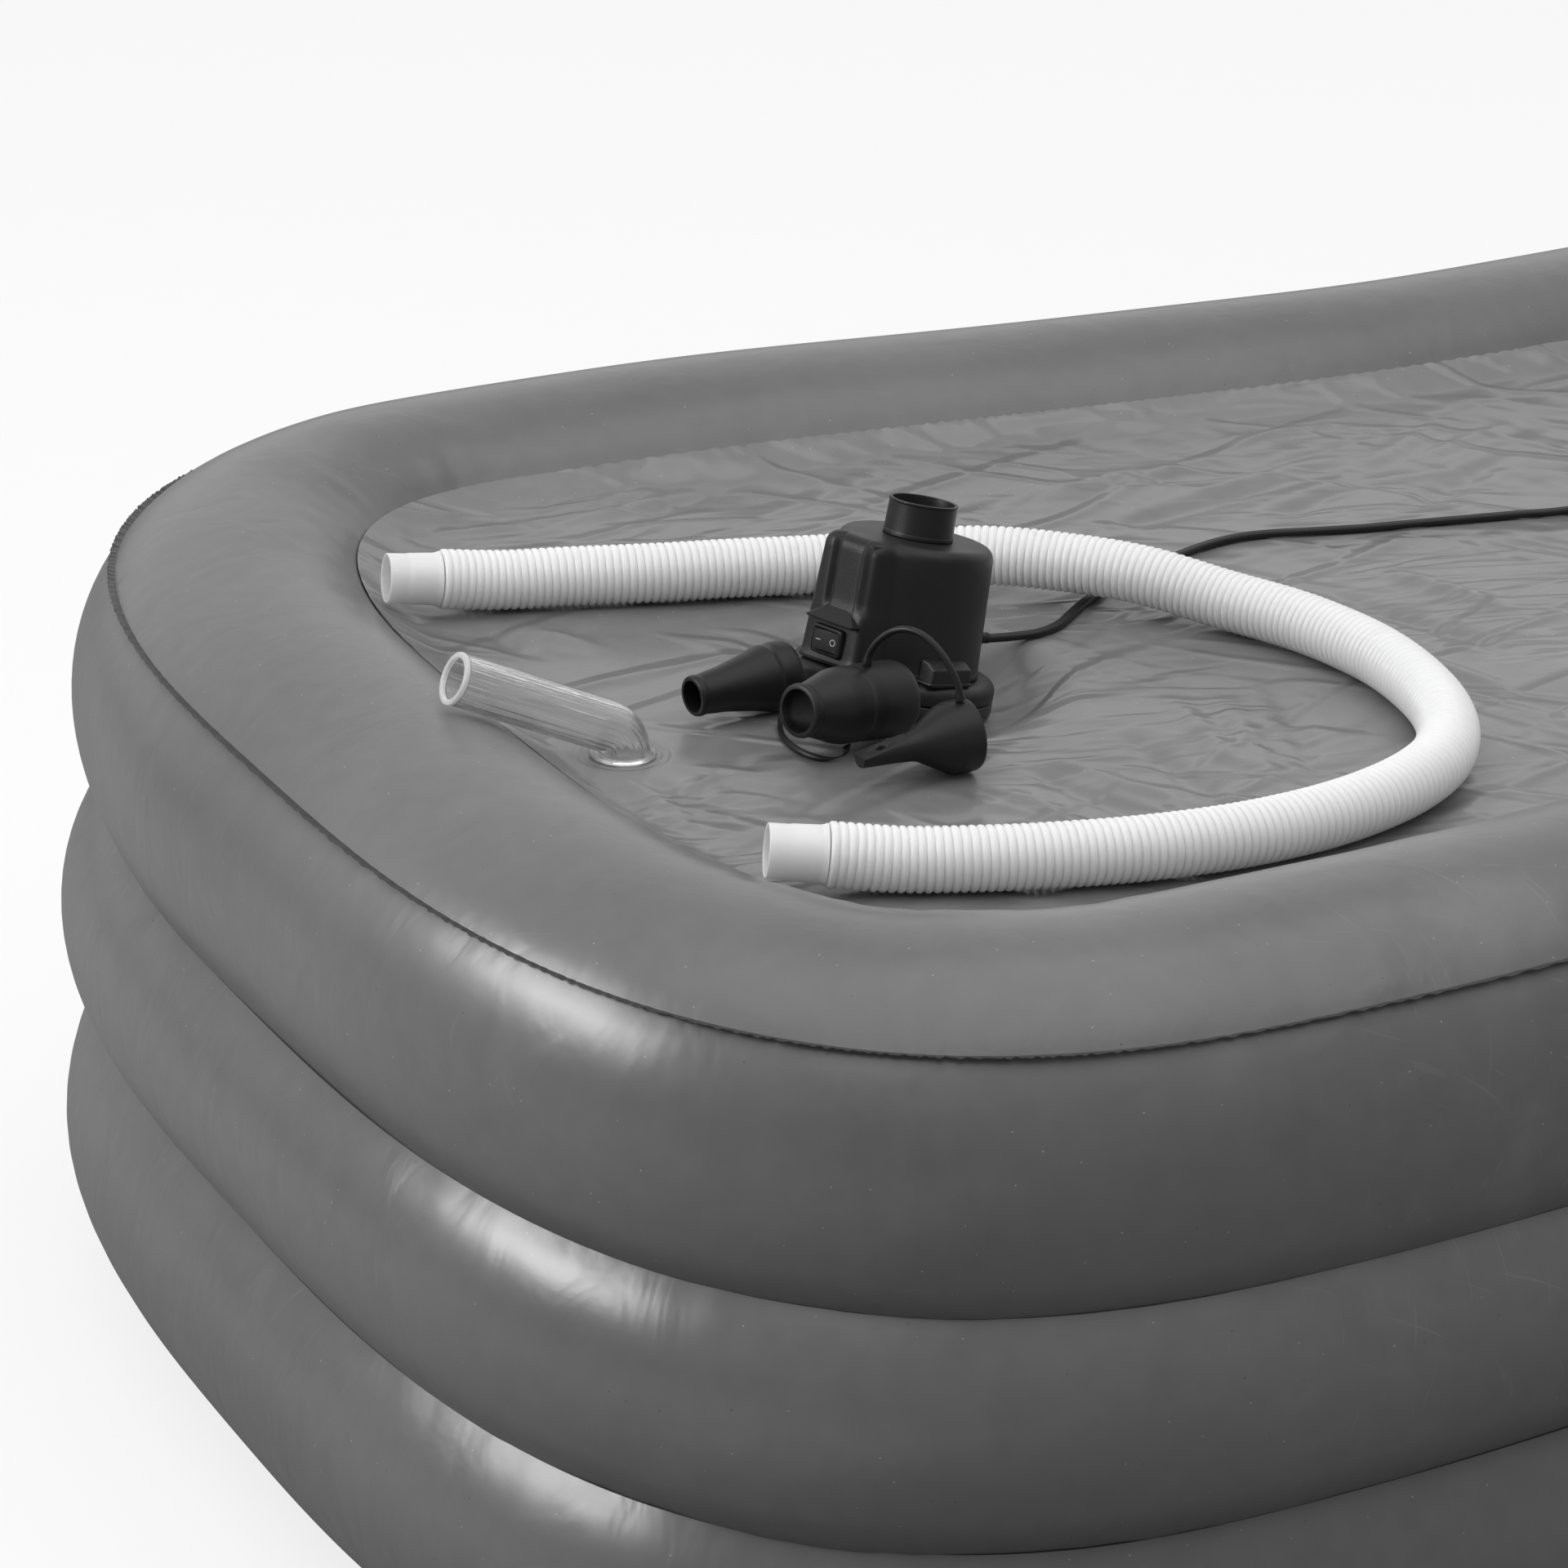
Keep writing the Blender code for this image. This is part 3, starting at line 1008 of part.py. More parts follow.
def build_cord(pump, pump_place):
    """The relief, the cord to its coil, the coil, the tail and the plug."""
    level = BASE_PLATE_HEIGHT + BASE_COVER_HEIGHT + 2 * TOUCH + RELIEF_LEVEL
    wall = -BODY_RADIUS + BODY_WALL + BODY_DRAFT
    outside = BODY_WALL + BODY_DRAFT + RELIEF_COLLAR
    end = BODY_WALL + BODY_DRAFT + RELIEF_LENGTH
    turned("strain_relief", [(0, 0), (RELIEF_RADIUS, 0), (RELIEF_RADIUS, outside),
                             (RELIEF_RADIUS - TOUCH, outside), (CORD_RADIUS + 2 * TOUCH, end), (0, end)],
           "black_rubber", pump, frame_along((wall, 0, level), (-1, 0, 0), (0, 0, 1)), steps=12, ring=False)
    out = (pump_place.to_3x3() @ Vector((-1, 0, 0))).normalized()
    start = pump_place @ Vector((wall - end - TOUCH, 0, level))
    low = SHEET_TOP + TOUCH + CORD_RADIUS
    coil = coil_points()
    along = (coil[1] - coil[0]) / np.linalg.norm(coil[1] - coil[0])
    entry = coil[0] - along * TOUCH
    route = [tuple(start), tuple(start + out * 3 * CORD_RADIUS)]
    route += [(x, y, low) for x, y in CORD_ROUTE]
    route += [tuple(entry - along * 4 * CORD_RADIUS), tuple(entry)]
    lead = smooth_curve(route, LEAD_POINTS)
    tube("cord_lead", lead, CORD_RADIUS, "black_rubber")
    tube("cord_coil", coil, CORD_RADIUS, "black_rubber", resolution=1)
    ahead = (coil[-1] - coil[-2]) / np.linalg.norm(coil[-1] - coil[-2])
    leave = coil[-1] + ahead * TOUCH
    plug_level = SHEET_TOP + TOUCH + PLUG_HEIGHT / 2
    levels = np.linspace(leave[2], plug_level, len(TAIL_ROUTE) + 2)[1:-1]
    tail = smooth_curve([tuple(leave), tuple(leave + ahead * 4 * CORD_RADIUS),
                         *((x, y, z) for (x, y), z in zip(TAIL_ROUTE, levels)), (PLUG_X, PLUG_Y, plug_level)],
                        TAIL_POINTS)
    tube("cord_tail", tail, CORD_RADIUS, "black_rubber")
    build_plug(tail)
    total = length_of(lead) + length_of(coil) + length_of(tail)
    print(f"cord length {total:.4f} m: lead {length_of(lead):.4f}, coil {length_of(coil):.4f}, "
          f"tail {length_of(tail):.4f}; least gap in the coil {least_gap(coil) / MM:.2f} mm")


def build_plug(tail):
    """The plug at the tail's end, lying flat, with its two pins."""
    heading = tail[-1] - tail[-3]
    here = frame_along(tail[-1] + heading / np.linalg.norm(heading) * TOUCH, (heading[0], heading[1], 0), (0, 0, 1))
    shoulder = PLUG_WIDTH * PLUG_NECK_SHARE
    half = PLUG_HEIGHT / 2
    outline = np.array([(-shoulder / 2, 0), (shoulder / 2, 0), (PLUG_WIDTH / 2, PLUG_LENGTH / 3),
                        (PLUG_WIDTH / 2, PLUG_LENGTH), (-PLUG_WIDTH / 2, PLUG_LENGTH),
                        (-PLUG_WIDTH / 2, PLUG_LENGTH / 3)])
    sections = [np.column_stack([np.full(len(outline), x), outline]) for x in (-half, half)]
    loft("plug_body", sections, "black_rubber", matrix=here)
    for k, side in enumerate((-1, 1)):
        spot = here @ Matrix.Translation((0, side * PLUG_PIN_SPACING / 2, PLUG_LENGTH + TOUCH))
        turned(f"plug_pin_{k + 1}", [(0, 0), (PLUG_PIN_RADIUS, 0), (PLUG_PIN_RADIUS, PLUG_PIN_LENGTH),
                                     (0, PLUG_PIN_LENGTH)], "steel", matrix=spot, steps=10, ring=False)


def coil_points():
    """Two layers of loops: the lower winds in, the upper out, with a straight piece at each end."""
    total = 2 * COIL_TURNS * COIL_STEPS
    low = SHEET_TOP + TOUCH + CORD_RADIUS
    points = []
    for k in range(total + 1):
        turn = k / COIL_STEPS
        angle = COIL_START - math.tau * turn
        inward = min(turn, 2 * COIL_TURNS - turn)
        radius = COIL_RADIUS + COIL_PITCH * (COIL_TURNS / 2 - inward)
        climb = min(max(2 * (turn - COIL_TURNS) + 0.5, 0), 1)
        height = low + COIL_LAYER * (3 - 2 * climb) * climb**2
        points.append((COIL_X + radius * math.cos(angle), COIL_Y + radius * math.sin(angle), height))
    points = np.array(points)
    first = (points[0] - points[1]) / np.linalg.norm(points[0] - points[1])
    last = (points[-1] - points[-2]) / np.linalg.norm(points[-1] - points[-2])
    return np.array([points[0] + first * 2 * CORD_RADIUS, *points, points[-1] + last * 2 * CORD_RADIUS])


def least_gap(points):
    """The least distance between two stretches of the coil over a third of a turn apart, less its thickness."""
    apart = np.linalg.norm(points[:, None] - points[None], axis=2)
    order = np.arange(len(points))
    near = np.abs(order[:, None] - order[None]) < COIL_STEPS / 3
    return float(np.where(near, COIL_RADIUS * 2, apart).min() - 2 * CORD_RADIUS)


def main():
    clear_scene()
    build_chambers()
    build_seam_fin()
    build_sheet()
    build_drain()
    build_valves()
    build_hose()
    pump = bpy.data.objects.new("pump_place", None)
    bpy.context.scene.collection.objects.link(pump)
    pump.matrix_world = pump_matrix()
    build_pump(pump)
    build_nozzles()
    build_cord(pump, pump_matrix())


if __name__ == "__main__":
    main()
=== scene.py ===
"""The looks of an inflatable bathtub turned over on its rim, with its pump, nozzles, hose and drain outlet on it.

Metres, +Z up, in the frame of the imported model. The origin is on the floor under the middle of the tub.
"""

import logging
import math
from dataclasses import dataclass, field
from enum import Enum

import bmesh
import bpy
import numpy as np
from mathutils import Matrix, Vector


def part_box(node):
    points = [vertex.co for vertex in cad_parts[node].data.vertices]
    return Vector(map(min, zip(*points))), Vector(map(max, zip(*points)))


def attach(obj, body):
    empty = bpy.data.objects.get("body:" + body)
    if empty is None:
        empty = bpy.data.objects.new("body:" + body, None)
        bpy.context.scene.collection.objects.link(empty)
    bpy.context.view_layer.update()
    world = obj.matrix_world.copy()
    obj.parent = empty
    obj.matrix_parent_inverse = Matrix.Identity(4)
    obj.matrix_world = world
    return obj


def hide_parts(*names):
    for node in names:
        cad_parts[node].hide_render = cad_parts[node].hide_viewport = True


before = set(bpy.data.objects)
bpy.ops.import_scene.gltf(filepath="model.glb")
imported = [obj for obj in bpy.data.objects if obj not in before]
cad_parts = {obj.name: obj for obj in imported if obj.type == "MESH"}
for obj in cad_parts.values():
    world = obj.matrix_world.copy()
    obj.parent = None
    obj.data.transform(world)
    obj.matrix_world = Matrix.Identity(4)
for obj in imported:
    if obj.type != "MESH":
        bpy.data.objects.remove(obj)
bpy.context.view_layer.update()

Array = np.ndarray
Point = tuple[float, float, float]
Obj = bpy.types.Object
log = logging.getLogger("bathtub")

TOUCH = 0.0003  # the gap left between touching parts
TURN = math.tau
END_X = -0.804  # the plan line's left end
DRAIN = (END_X + 0.110, -0.038)
UP = np.array([0.0, 0.0, 1.0])


# Shader maths


class Value:
    """A shader socket's output, with arithmetic that adds Math nodes."""

    def __init__(self, graph: "Graph", socket: bpy.types.NodeSocket) -> None:
        """Keeps the graph and the socket."""
        self.graph, self.socket = graph, socket

    def __add__(self, other: "Value | float") -> "Value":
        """This plus other."""
        return self.graph.maths("ADD", self, other)

    def __sub__(self, other: "Value | float") -> "Value":
        """This less other."""
        return self.graph.maths("SUBTRACT", self, other)

    def __mul__(self, other: "Value | float") -> "Value":
        """This times other."""
        return self.graph.maths("MULTIPLY", self, other)

    def __truediv__(self, other: "Value | float") -> "Value":
        """This divided by other."""
        return self.graph.maths("DIVIDE", self, other)

    def __pow__(self, other: "Value | float") -> "Value":
        """This to a power."""
        return self.graph.maths("POWER", self, other)

    def __lt__(self, other: "Value | float") -> "Value":
        """One where this is less than other."""
        return self.graph.maths("LESS_THAN", self, other)

    def __abs__(self) -> "Value":
        """This without its sign."""
        return self.graph.maths("ABSOLUTE", self)

    def __radd__(self, other: float) -> "Value":
        """other plus this."""
        return self.graph.maths("ADD", other, self)

    def __rsub__(self, other: float) -> "Value":
        """other less this."""
        return self.graph.maths("SUBTRACT", other, self)

    def __rmul__(self, other: float) -> "Value":
        """other times this."""
        return self.graph.maths("MULTIPLY", other, self)


class Graph:
    """The nodes of a material or a world."""

    def __init__(self, owner: bpy.types.ID) -> None:
        """Starts the owner's nodes afresh.

        Args:
            owner: the material or world.
        """
        owner.use_nodes = True
        self.owner, self.tree = owner, owner.node_tree
        self.tree.nodes.clear()

    def add(self, kind: str, settings: dict | None = None, sockets: dict | None = None, output: int = 0) -> Value:
        """Adds any node.

        Args:
            kind: the node's type, without its leading ShaderNode.
            settings: what is set on the node first; stops are a ramp's positions and grey levels.
            sockets: values or links for its inputs, by name or number.
            output: which output is given back.

        Returns:
            That output.
        """
        node = self.tree.nodes.new(f"ShaderNode{kind}")
        for name, value in (settings or {}).items():
            if name == "stops":
                for element, (place, level) in zip(node.color_ramp.elements, value):
                    element.position, element.color = place, (level, level, level, 1)
            else:
                setattr(node, name, value)
        for name, value in (sockets or {}).items():
            self.feed(node.inputs[name], value)
        return Value(self, node.outputs[output])

    def feed(self, socket: bpy.types.NodeSocket, value: "Value | float | tuple") -> None:
        """Links or sets one input.

        Args:
            socket: the input.
            value: a link or a constant.
        """
        if isinstance(value, Value):
            self.tree.links.new(value.socket, socket)
        else:
            socket.default_value = value

    def maths(self, operation: str, *values: "Value | float") -> Value:
        """One Math node on up to three values."""
        return self.add("Math", {"operation": operation}, dict(enumerate(values)))

    def smooth(self, value: Value, low: float, high: float) -> Value:
        """Zero below low, one above high, and smooth between them."""
        return self.add("MapRange", {"interpolation_type": "SMOOTHSTEP"}, {0: value, 1: low, 2: high, 3: 0.0, 4: 1.0})

    def mix(self, factor: "Value | float", first: "Value | tuple", second: "Value | tuple") -> Value:
        """A colour from first at zero to second at one."""
        return self.add("Mix", {"data_type": "RGBA"}, {0: factor, 6: first, 7: second}, 2)

    def place(self, attribute: str = "") -> Value:
        """Object coordinates, or a vector attribute of the piece.

        Args:
            attribute: its name, or nothing for object coordinates.

        Returns:
            The vector.
        """
        if attribute:
            return self.add("Attribute", {"attribute_name": attribute}, output=1)
        return self.add("TexCoord", output=3)

    def stretched(self, place: Value, scale: Point) -> Value:
        """A place multiplied by a scale along each axis."""
        return self.add("VectorMath", {"operation": "MULTIPLY"}, {0: place, 1: scale})

    def drawn(self, place: Value, turn: Point, size: Point) -> Value:
        """The place turned and drawn out, so that a noise over it makes strokes of about that size, long in Y."""
        return self.add("Mapping", {"vector_type": "TEXTURE"}, {0: place, 2: turn, 3: size})

    def noise(self, place: Value, scale: float, detail: float = 2.0, warp: float = 0.0) -> Value:
        """Noise from about zero to one."""
        return self.add("TexNoise", None, {"Vector": place, "Scale": scale, "Detail": detail, "Distortion": warp})

    def crossing(self, place: Value, turn: float, size: Point, warp: float, middle: float, half: float) -> Value:
        """One where a drawn-out noise crosses its middle, and zero from half away."""
        strokes = self.noise(self.drawn(place, (0.0, 0.0, turn), size), 1.0, 1.0, warp)
        return 1 - self.smooth(abs(strokes - middle), 0.0, half)

    def bump(self, height: Value, depth: float, strength: float = 1.0) -> Value:
        """A normal bent by a height field whose one stands for depth in metres."""
        return self.add("Bump", None, {"Strength": strength, "Distance": depth, "Height": height})

    def output(self, shader: Value) -> None:
        """Links a shader to the material's or the world's output."""
        kind = "ShaderNodeOutputWorld" if isinstance(self.owner, bpy.types.World) else "ShaderNodeOutputMaterial"
        self.tree.links.new(shader.socket, self.tree.nodes.new(kind).inputs["Surface"])


def grey(level: float) -> tuple:
    """An opaque neutral colour."""
    return (level, level, level, 1.0)


def shaded(colour: tuple, share: float) -> tuple:
    """An opaque colour multiplied by a share."""
    return (*(share * c for c in colour[:3]), 1.0)


@dataclass(frozen=True)
class Finish:
    """A finish: its record slot and the constant values of its shader."""

    slot: str
    colour: tuple = (0.5, 0.5, 0.5, 1.0)
    roughness: float = 0.4
    constants: tuple = ()

    def material(self) -> bpy.types.Material:
        """The finish's material, made once.

        Returns:
            The material.
        """
        name = f"{type(self).__name__}_{self.slot}_{round(1000 * self.roughness)}"
        made = bpy.data.materials.get(name)
        if made is None:
            made = bpy.data.materials.new(name)
            graph = Graph(made)
            sockets = dict(self.constants)
            sockets.update(self.surface(graph))
            graph.output(graph.add("BsdfPrincipled", None, sockets))
        return made

    def surface(self, graph: Graph) -> dict:
        """What changes over the surface, by socket name."""
        return {"Base Color": self.colour, "Roughness": self.roughness}

    def shades(self, graph: Graph, level: Value) -> Value:
        """The finish's colour, made darker below a level of one half and lighter above it."""
        return graph.mix(level, shaded(self.colour, 0.72), shaded(self.colour, 1.28))


@dataclass(frozen=True)
class Film(Finish):
    """Soft vinyl film: cloudy, with dust specks, faint curved scuffs and a fine crinkle."""

    crinkle: float = 0.0009
    scuffs: float = 0.60
    dust: float = 0.50
    creases: float = 0.0
    long_folds: tuple = (1.85, (0.060, 0.30, 0.2), 0.35, 0.5, 0.11)
    short_folds: tuple = (1.35, (0.020, 0.12, 0.2), 0.5, 0.5, 0.13)
    cross_folds: tuple = (0.75, (0.045, 0.20, 0.2), 0.35, 0.52, 0.09)

    def surface(self, graph: Graph) -> dict:
        """Colour, roughness and normal of the film.

        Args:
            graph: the material's nodes.

        Returns:
            Links by socket name.
        """
        here = graph.place()
        cloud = graph.noise(here, 5.0, 4.0)
        mottle = graph.noise(here, 70.0, 3.0)
        speck, cell = (graph.add("TexVoronoi", None, {"Vector": here, "Scale": 190.0}, k) for k in (0, 1))
        lot = graph.add("TexWhiteNoise", None, {"Vector": cell})
        dust = (speck < 0.085) * (lot < 0.14) * self.dust
        pits = (speck < 0.075) * (lot * -1 < -0.95) * 0.8
        worn = graph.smooth(graph.noise(here, 3.4, 3.0), 0.46, 0.70)
        strokes = [graph.drawn(here, turn, (0.0022, 0.05, 0.04)) for turn in ((0.0, 0.3, 0.5), (0.4, -0.2, 1.3))]
        scratch = sum(graph.smooth(graph.noise(stroke, 1.0, 1.0, 0.8), 0.68, 0.76) for stroke in strokes)
        chalk = graph.smooth(graph.noise(here, 16.0, 6.0), 0.50, 0.72)
        scuff = (scratch * 0.7 + chalk * 0.6) * worn * self.scuffs
        level = 0.5 + (cloud - 0.5) * 0.9 + (mottle - 0.5) * 0.4 + scuff
        colour = graph.mix(dust, self.shades(graph, level), grey(0.5))
        colour = graph.mix(pits, colour, grey(0.03))
        soft = graph.noise(graph.stretched(here, (1.0, 1.0, 0.6)), 26.0, 3.0, 0.6)
        grain = graph.noise(here, 420.0, 2.0)
        height = (soft + grain * 0.03) * self.crinkle
        if self.creases:
            height = height + self.folds(graph, here) * self.creases
        return {
            "Base Color": colour,
            "Roughness": self.roughness + (cloud - 0.5) * 0.16 + scuff * 0.12,
            "Normal": graph.bump(height, 1.0),
        }

    def folds(self, graph: Graph, here: Value) -> Value:
        """Long folds where drawn-out noises cross their middle, and rings pressed round the drain.

        Args:
            graph: the material's nodes.
            here: the place on the sheet.

        Returns:
            Height as a share of the crease depth.
        """
        patches = graph.smooth(graph.noise(here, 4.2, 1.0), 0.44, 0.62)
        long, short, cross = (graph.crossing(here, *f) for f in (self.long_folds, self.short_folds, self.cross_folds))
        short = short * patches * 0.6 + cross * (1 - patches)
        x, y = (graph.add("SeparateXYZ", None, {0: here}, k) for k in (0, 1))
        reach = graph.maths("SQRT", (x - DRAIN[0]) ** 2 + (y - DRAIN[1]) ** 2)
        ring = graph.maths("SINE", reach * (TURN / 0.0042)) * graph.smooth(reach, 0.0165, 0.018)
        ring = ring * (1 - graph.smooth(reach, 0.020, 0.027)) * 0.05
        away = graph.smooth(reach, 0.028, 0.05)
        return (long * 0.5 + short * 0.35) * away + ring


@dataclass(frozen=True)
class Moulded(Finish):
    """Hard or rubbery moulded plastic: fine spark grain, hand marks and settled dust."""

    grain: float = 0.00006
    grain_scale: float = 1500.0

    def surface(self, graph: Graph) -> dict:
        """Colour, roughness and normal of the moulding.

        Args:
            graph: the material's nodes.

        Returns:
            Links by socket name.
        """
        here = graph.place()
        smudge = graph.noise(here, 34.0, 4.0, 0.5)
        fine = graph.noise(here, self.grain_scale, 2.0)
        speck = graph.add("TexVoronoi", None, {"Vector": here, "Scale": 420.0})
        dust = (speck < 0.10) * graph.smooth(graph.noise(here, 190.0, 1.0), 0.55, 0.75) * 0.5
        colour = graph.mix(dust, self.shades(graph, smudge), shaded(self.colour, 4))
        return {
            "Base Color": colour,
            "Roughness": self.roughness + (smudge - 0.5) * 0.22 + (fine - 0.5) * 0.08,
            "Normal": graph.bump(fine, self.grain),
        }


@dataclass(frozen=True)
class Hosing(Finish):
    """White translucent hose plastic with drawn streaks and a little dirt."""

    def surface(self, graph: Graph) -> dict:
        """Colour, roughness and normal of the hose.

        Args:
            graph: the material's nodes.

        Returns:
            Links by socket name.
        """
        here = graph.place()
        streak = graph.noise(graph.place("flow"), 60.0, 3.0)
        cloud = graph.noise(here, 18.0, 3.0)
        dirt = graph.smooth(graph.noise(here, 55.0, 4.0), 0.62, 0.85) * 0.5
        white = graph.mix(cloud, self.colour, shaded(self.colour, 0.93))
        return {
            "Base Color": graph.mix(dirt, white, grey(0.62)),
            "Roughness": self.roughness + (streak - 0.5) * 0.2,
            "Normal": graph.bump(streak, 0.0001),
        }


@dataclass(frozen=True)
class Clear(Finish):
    """Clear soft vinyl with streaks along its tube."""

    def surface(self, graph: Graph) -> dict:
        """Roughness and normal of the clear wall.

        Args:
            graph: the material's nodes.

        Returns:
            Links by socket name.
        """
        streak = graph.noise(graph.place("flow"), 120.0, 2.0)
        haze = graph.noise(graph.place(), 40.0, 3.0)
        return {
            "Base Color": graph.mix(graph.smooth(streak, 0.35, 0.65), grey(0.84), grey(0.99)),
            "Roughness": self.roughness + haze * 0.06,
            "Normal": graph.bump(streak, 0.0007),
        }


@dataclass(frozen=True)
class Brushed(Finish):
    """Turned or plated metal with fine lines."""

    def surface(self, graph: Graph) -> dict:
        """Colour, roughness and normal of the metal.

        Args:
            graph: the material's nodes.

        Returns:
            Links by socket name.
        """
        here = graph.place()
        lines = graph.noise(graph.stretched(here, (1.0, 1.0, 14.0)), 300.0, 2.0)
        return {
            "Base Color": self.shades(graph, graph.noise(here, 45.0, 3.0)),
            "Roughness": self.roughness + (lines - 0.5) * 0.25,
            "Normal": graph.bump(lines, 0.00003),
        }


CHAMBER_FILM = Film("grey_pvc", grey(0.139), 0.31, (("Specular IOR Level", 0.55),))
# The fin's film is the chambers' grey PVC painted much darker: painted shade for the dark shadow line along the seam.
FIN_PAINTED_SHADE_FILM = Film("grey_pvc", grey(0.040), 0.36, (("Specular IOR Level", 0.40),), dust=0.2)
FLOOR_FILM = Film("floor_pvc", grey(0.182), 0.29, (("Specular IOR Level", 0.80),),
                  scuffs=0.25, dust=0.6, creases=0.0042)
WHITE_HOSE = Hosing("white_hose", grey(0.89), 0.38, (
    ("Subsurface Weight", 0.8), ("Subsurface Scale", 1.0), ("Subsurface Radius", (0.004,) * 3)))
BLACK_PLASTIC = Moulded("black_plastic", grey(0.0135), 0.40, (("Specular IOR Level", 0.28),))
BLACK_RUBBER = Moulded("black_rubber", grey(0.0115), 0.42, (("Specular IOR Level", 0.29),),
                        grain=0.00003, grain_scale=900.0)
CLEAR_VINYL = Clear("clear_pvc", grey(0.97), 0.03, (("Transmission Weight", 0.93), ("IOR", 1.42)))
CLEAR_RIM = Clear("clear_pvc", grey(0.97), 0.12, (("Transmission Weight", 0.55), ("IOR", 1.42)))
STEEL = Brushed("steel", grey(0.55), 0.30, (("Metallic", 1.0),))
PALE_INK = Moulded("white_hose", grey(0.50), 0.50)


# Surfaces


def grid_faces(rows: int, columns: int, ring: bool) -> Array:
    """The four-cornered faces of a grid of points whose columns close on themselves.

    Args:
        rows: number of rows.
        columns: number of columns.
        ring: whether the last row joins the first.

    Returns:
        (n, 4) point numbers.
    """
    i, j = np.meshgrid(np.arange(rows if ring else rows - 1), np.arange(columns), indexing="ij")
    k, m = (i + 1) % rows, (j + 1) % columns
    return np.stack([i * columns + j, i * columns + m, k * columns + m, k * columns + j], axis=-1).reshape(-1, 4)


def piece(name: str, grids: list, finish: "Finish", stands_for: tuple = (), body: str = "tub", ring: bool = True,
          sharp: float = 40.0, vectors: dict | None = None) -> Obj:
    """Makes a piece from one or more closed grids, and turns each to face outwards.

    A shell's volume is the sum over its faces of a . (b x c) + a . (c x d). Where it is negative, the faces turn.

    Args:
        name: the piece's name.
        grids: (rows, columns, 3) grids.
        finish: its finish.
        stands_for: the CAD nodes whose place it takes.
        body: the body that it rides on.
        ring: whether each grid's last row joins its first; else both end rows are poles.
        sharp: degrees between faces from which their edge is sharp.
        vectors: vectors for each point of the grids, by attribute name.

    Returns:
        The object.
    """
    points, faces, start = np.concatenate([g.reshape(-1, 3) for g in grids]), [], 0
    for grid in grids:
        found = grid_faces(grid.shape[0], grid.shape[1], ring) + start
        a, b, c, d = (points[found[:, k]] - points[start] for k in range(4))
        volume = np.einsum("ij,ij->", a, np.cross(b, c)) + np.einsum("ij,ij->", a, np.cross(c, d))
        faces.append(found if volume > 0 else found[:, ::-1])
        start += grid.shape[0] * grid.shape[1]
    faces = np.concatenate(faces)
    mesh = bpy.data.meshes.new(name)
    mesh.vertices.add(len(points))
    mesh.vertices.foreach_set("co", points.astype(np.float32).ravel())
    mesh.loops.add(faces.size)
    mesh.loops.foreach_set("vertex_index", faces.astype(np.int32).ravel())
    mesh.polygons.add(len(faces))
    mesh.polygons.foreach_set("loop_start", np.arange(0, faces.size, 4, dtype=np.int32))
    mesh.update(calc_edges=True)
    for attribute, values in (vectors or {}).items():
        made = mesh.attributes.new(attribute, "FLOAT_VECTOR", "POINT")
        made.data.foreach_set("vector", values.astype(np.float32).ravel())
    shape = bmesh.new()
    shape.from_mesh(mesh)
    bmesh.ops.remove_doubles(shape, verts=shape.verts, dist=1e-6)
    shape.to_mesh(mesh)
    shape.free()
    mesh.shade_smooth()
    mesh.set_sharp_from_angle(angle=math.radians(sharp))
    made = bpy.data.objects.new(name, mesh)
    bpy.context.scene.collection.objects.link(made)
    mesh.materials.append(finish.material())
    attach(made, body)
    if stands_for:
        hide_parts(*stands_for)
    log.info("%s: %d faces on %s", name, len(mesh.polygons), body)
    return made


def flowing(grid: Array, *parts: "Array | float") -> dict:
    """The flow attribute, along which streaks run: up to three parts spread over the grid, and zero for the rest."""
    parts = (*parts, 0, 0, 0)[:3]
    return {"flow": np.stack([np.broadcast_to(v, grid.shape[:2]) for v in parts], axis=-1)}


def distances(points: Array) -> Array:
    """The distance along a polyline at each of its points."""
    return np.concatenate([[0], np.cumsum(np.linalg.norm(np.diff(points, axis=0), axis=1))])


def between(points: Array, places: Array, wanted: Array) -> Array:
    """Points that stand at rising places, read at the wanted places between them."""
    return np.stack([np.interp(wanted, places, column) for column in points.T], axis=1)


def evenly(points: Array, count: int) -> Array:
    """Points at equal steps along a polyline."""
    along = distances(points)
    return between(points, along, np.linspace(0, along[-1], count))


def smooth_curve(route: list, count: int) -> Array:
    """Evenly spaced points on the cubic that passes through a route's points.

    Each stretch from b to c, with a before and d after, is half of
    2b + (c-a)t + (2a-5b+4c-d)t^2 + (3b-a-3c+d)t^3.

    Args:
        route: the points.
        count: how many points to give back.

    Returns:
        (count, 3) points.
    """
    route = np.array(route, float)
    ends = np.concatenate([2 * route[:1] - route[1:2], route, 2 * route[-1:] - route[-2:-1]])
    t = np.linspace(0, 1, 40, endpoint=False)[None, :, None]
    a, b, c, d = (ends[k : len(ends) - 3 + k, None] for k in range(4))
    cubic = (2 * b + (c - a) * t + (2 * a - 5 * b + 4 * c - d) * t**2 + (3 * b - a - 3 * c + d) * t**3) / 2
    return evenly(np.concatenate([cubic.reshape(-1, route.shape[1]), route[-1:]]), count)


def length_of(points: Array) -> float:
    """The length of a polyline."""
    return float(np.linalg.norm(np.diff(points, axis=0), axis=1).sum())


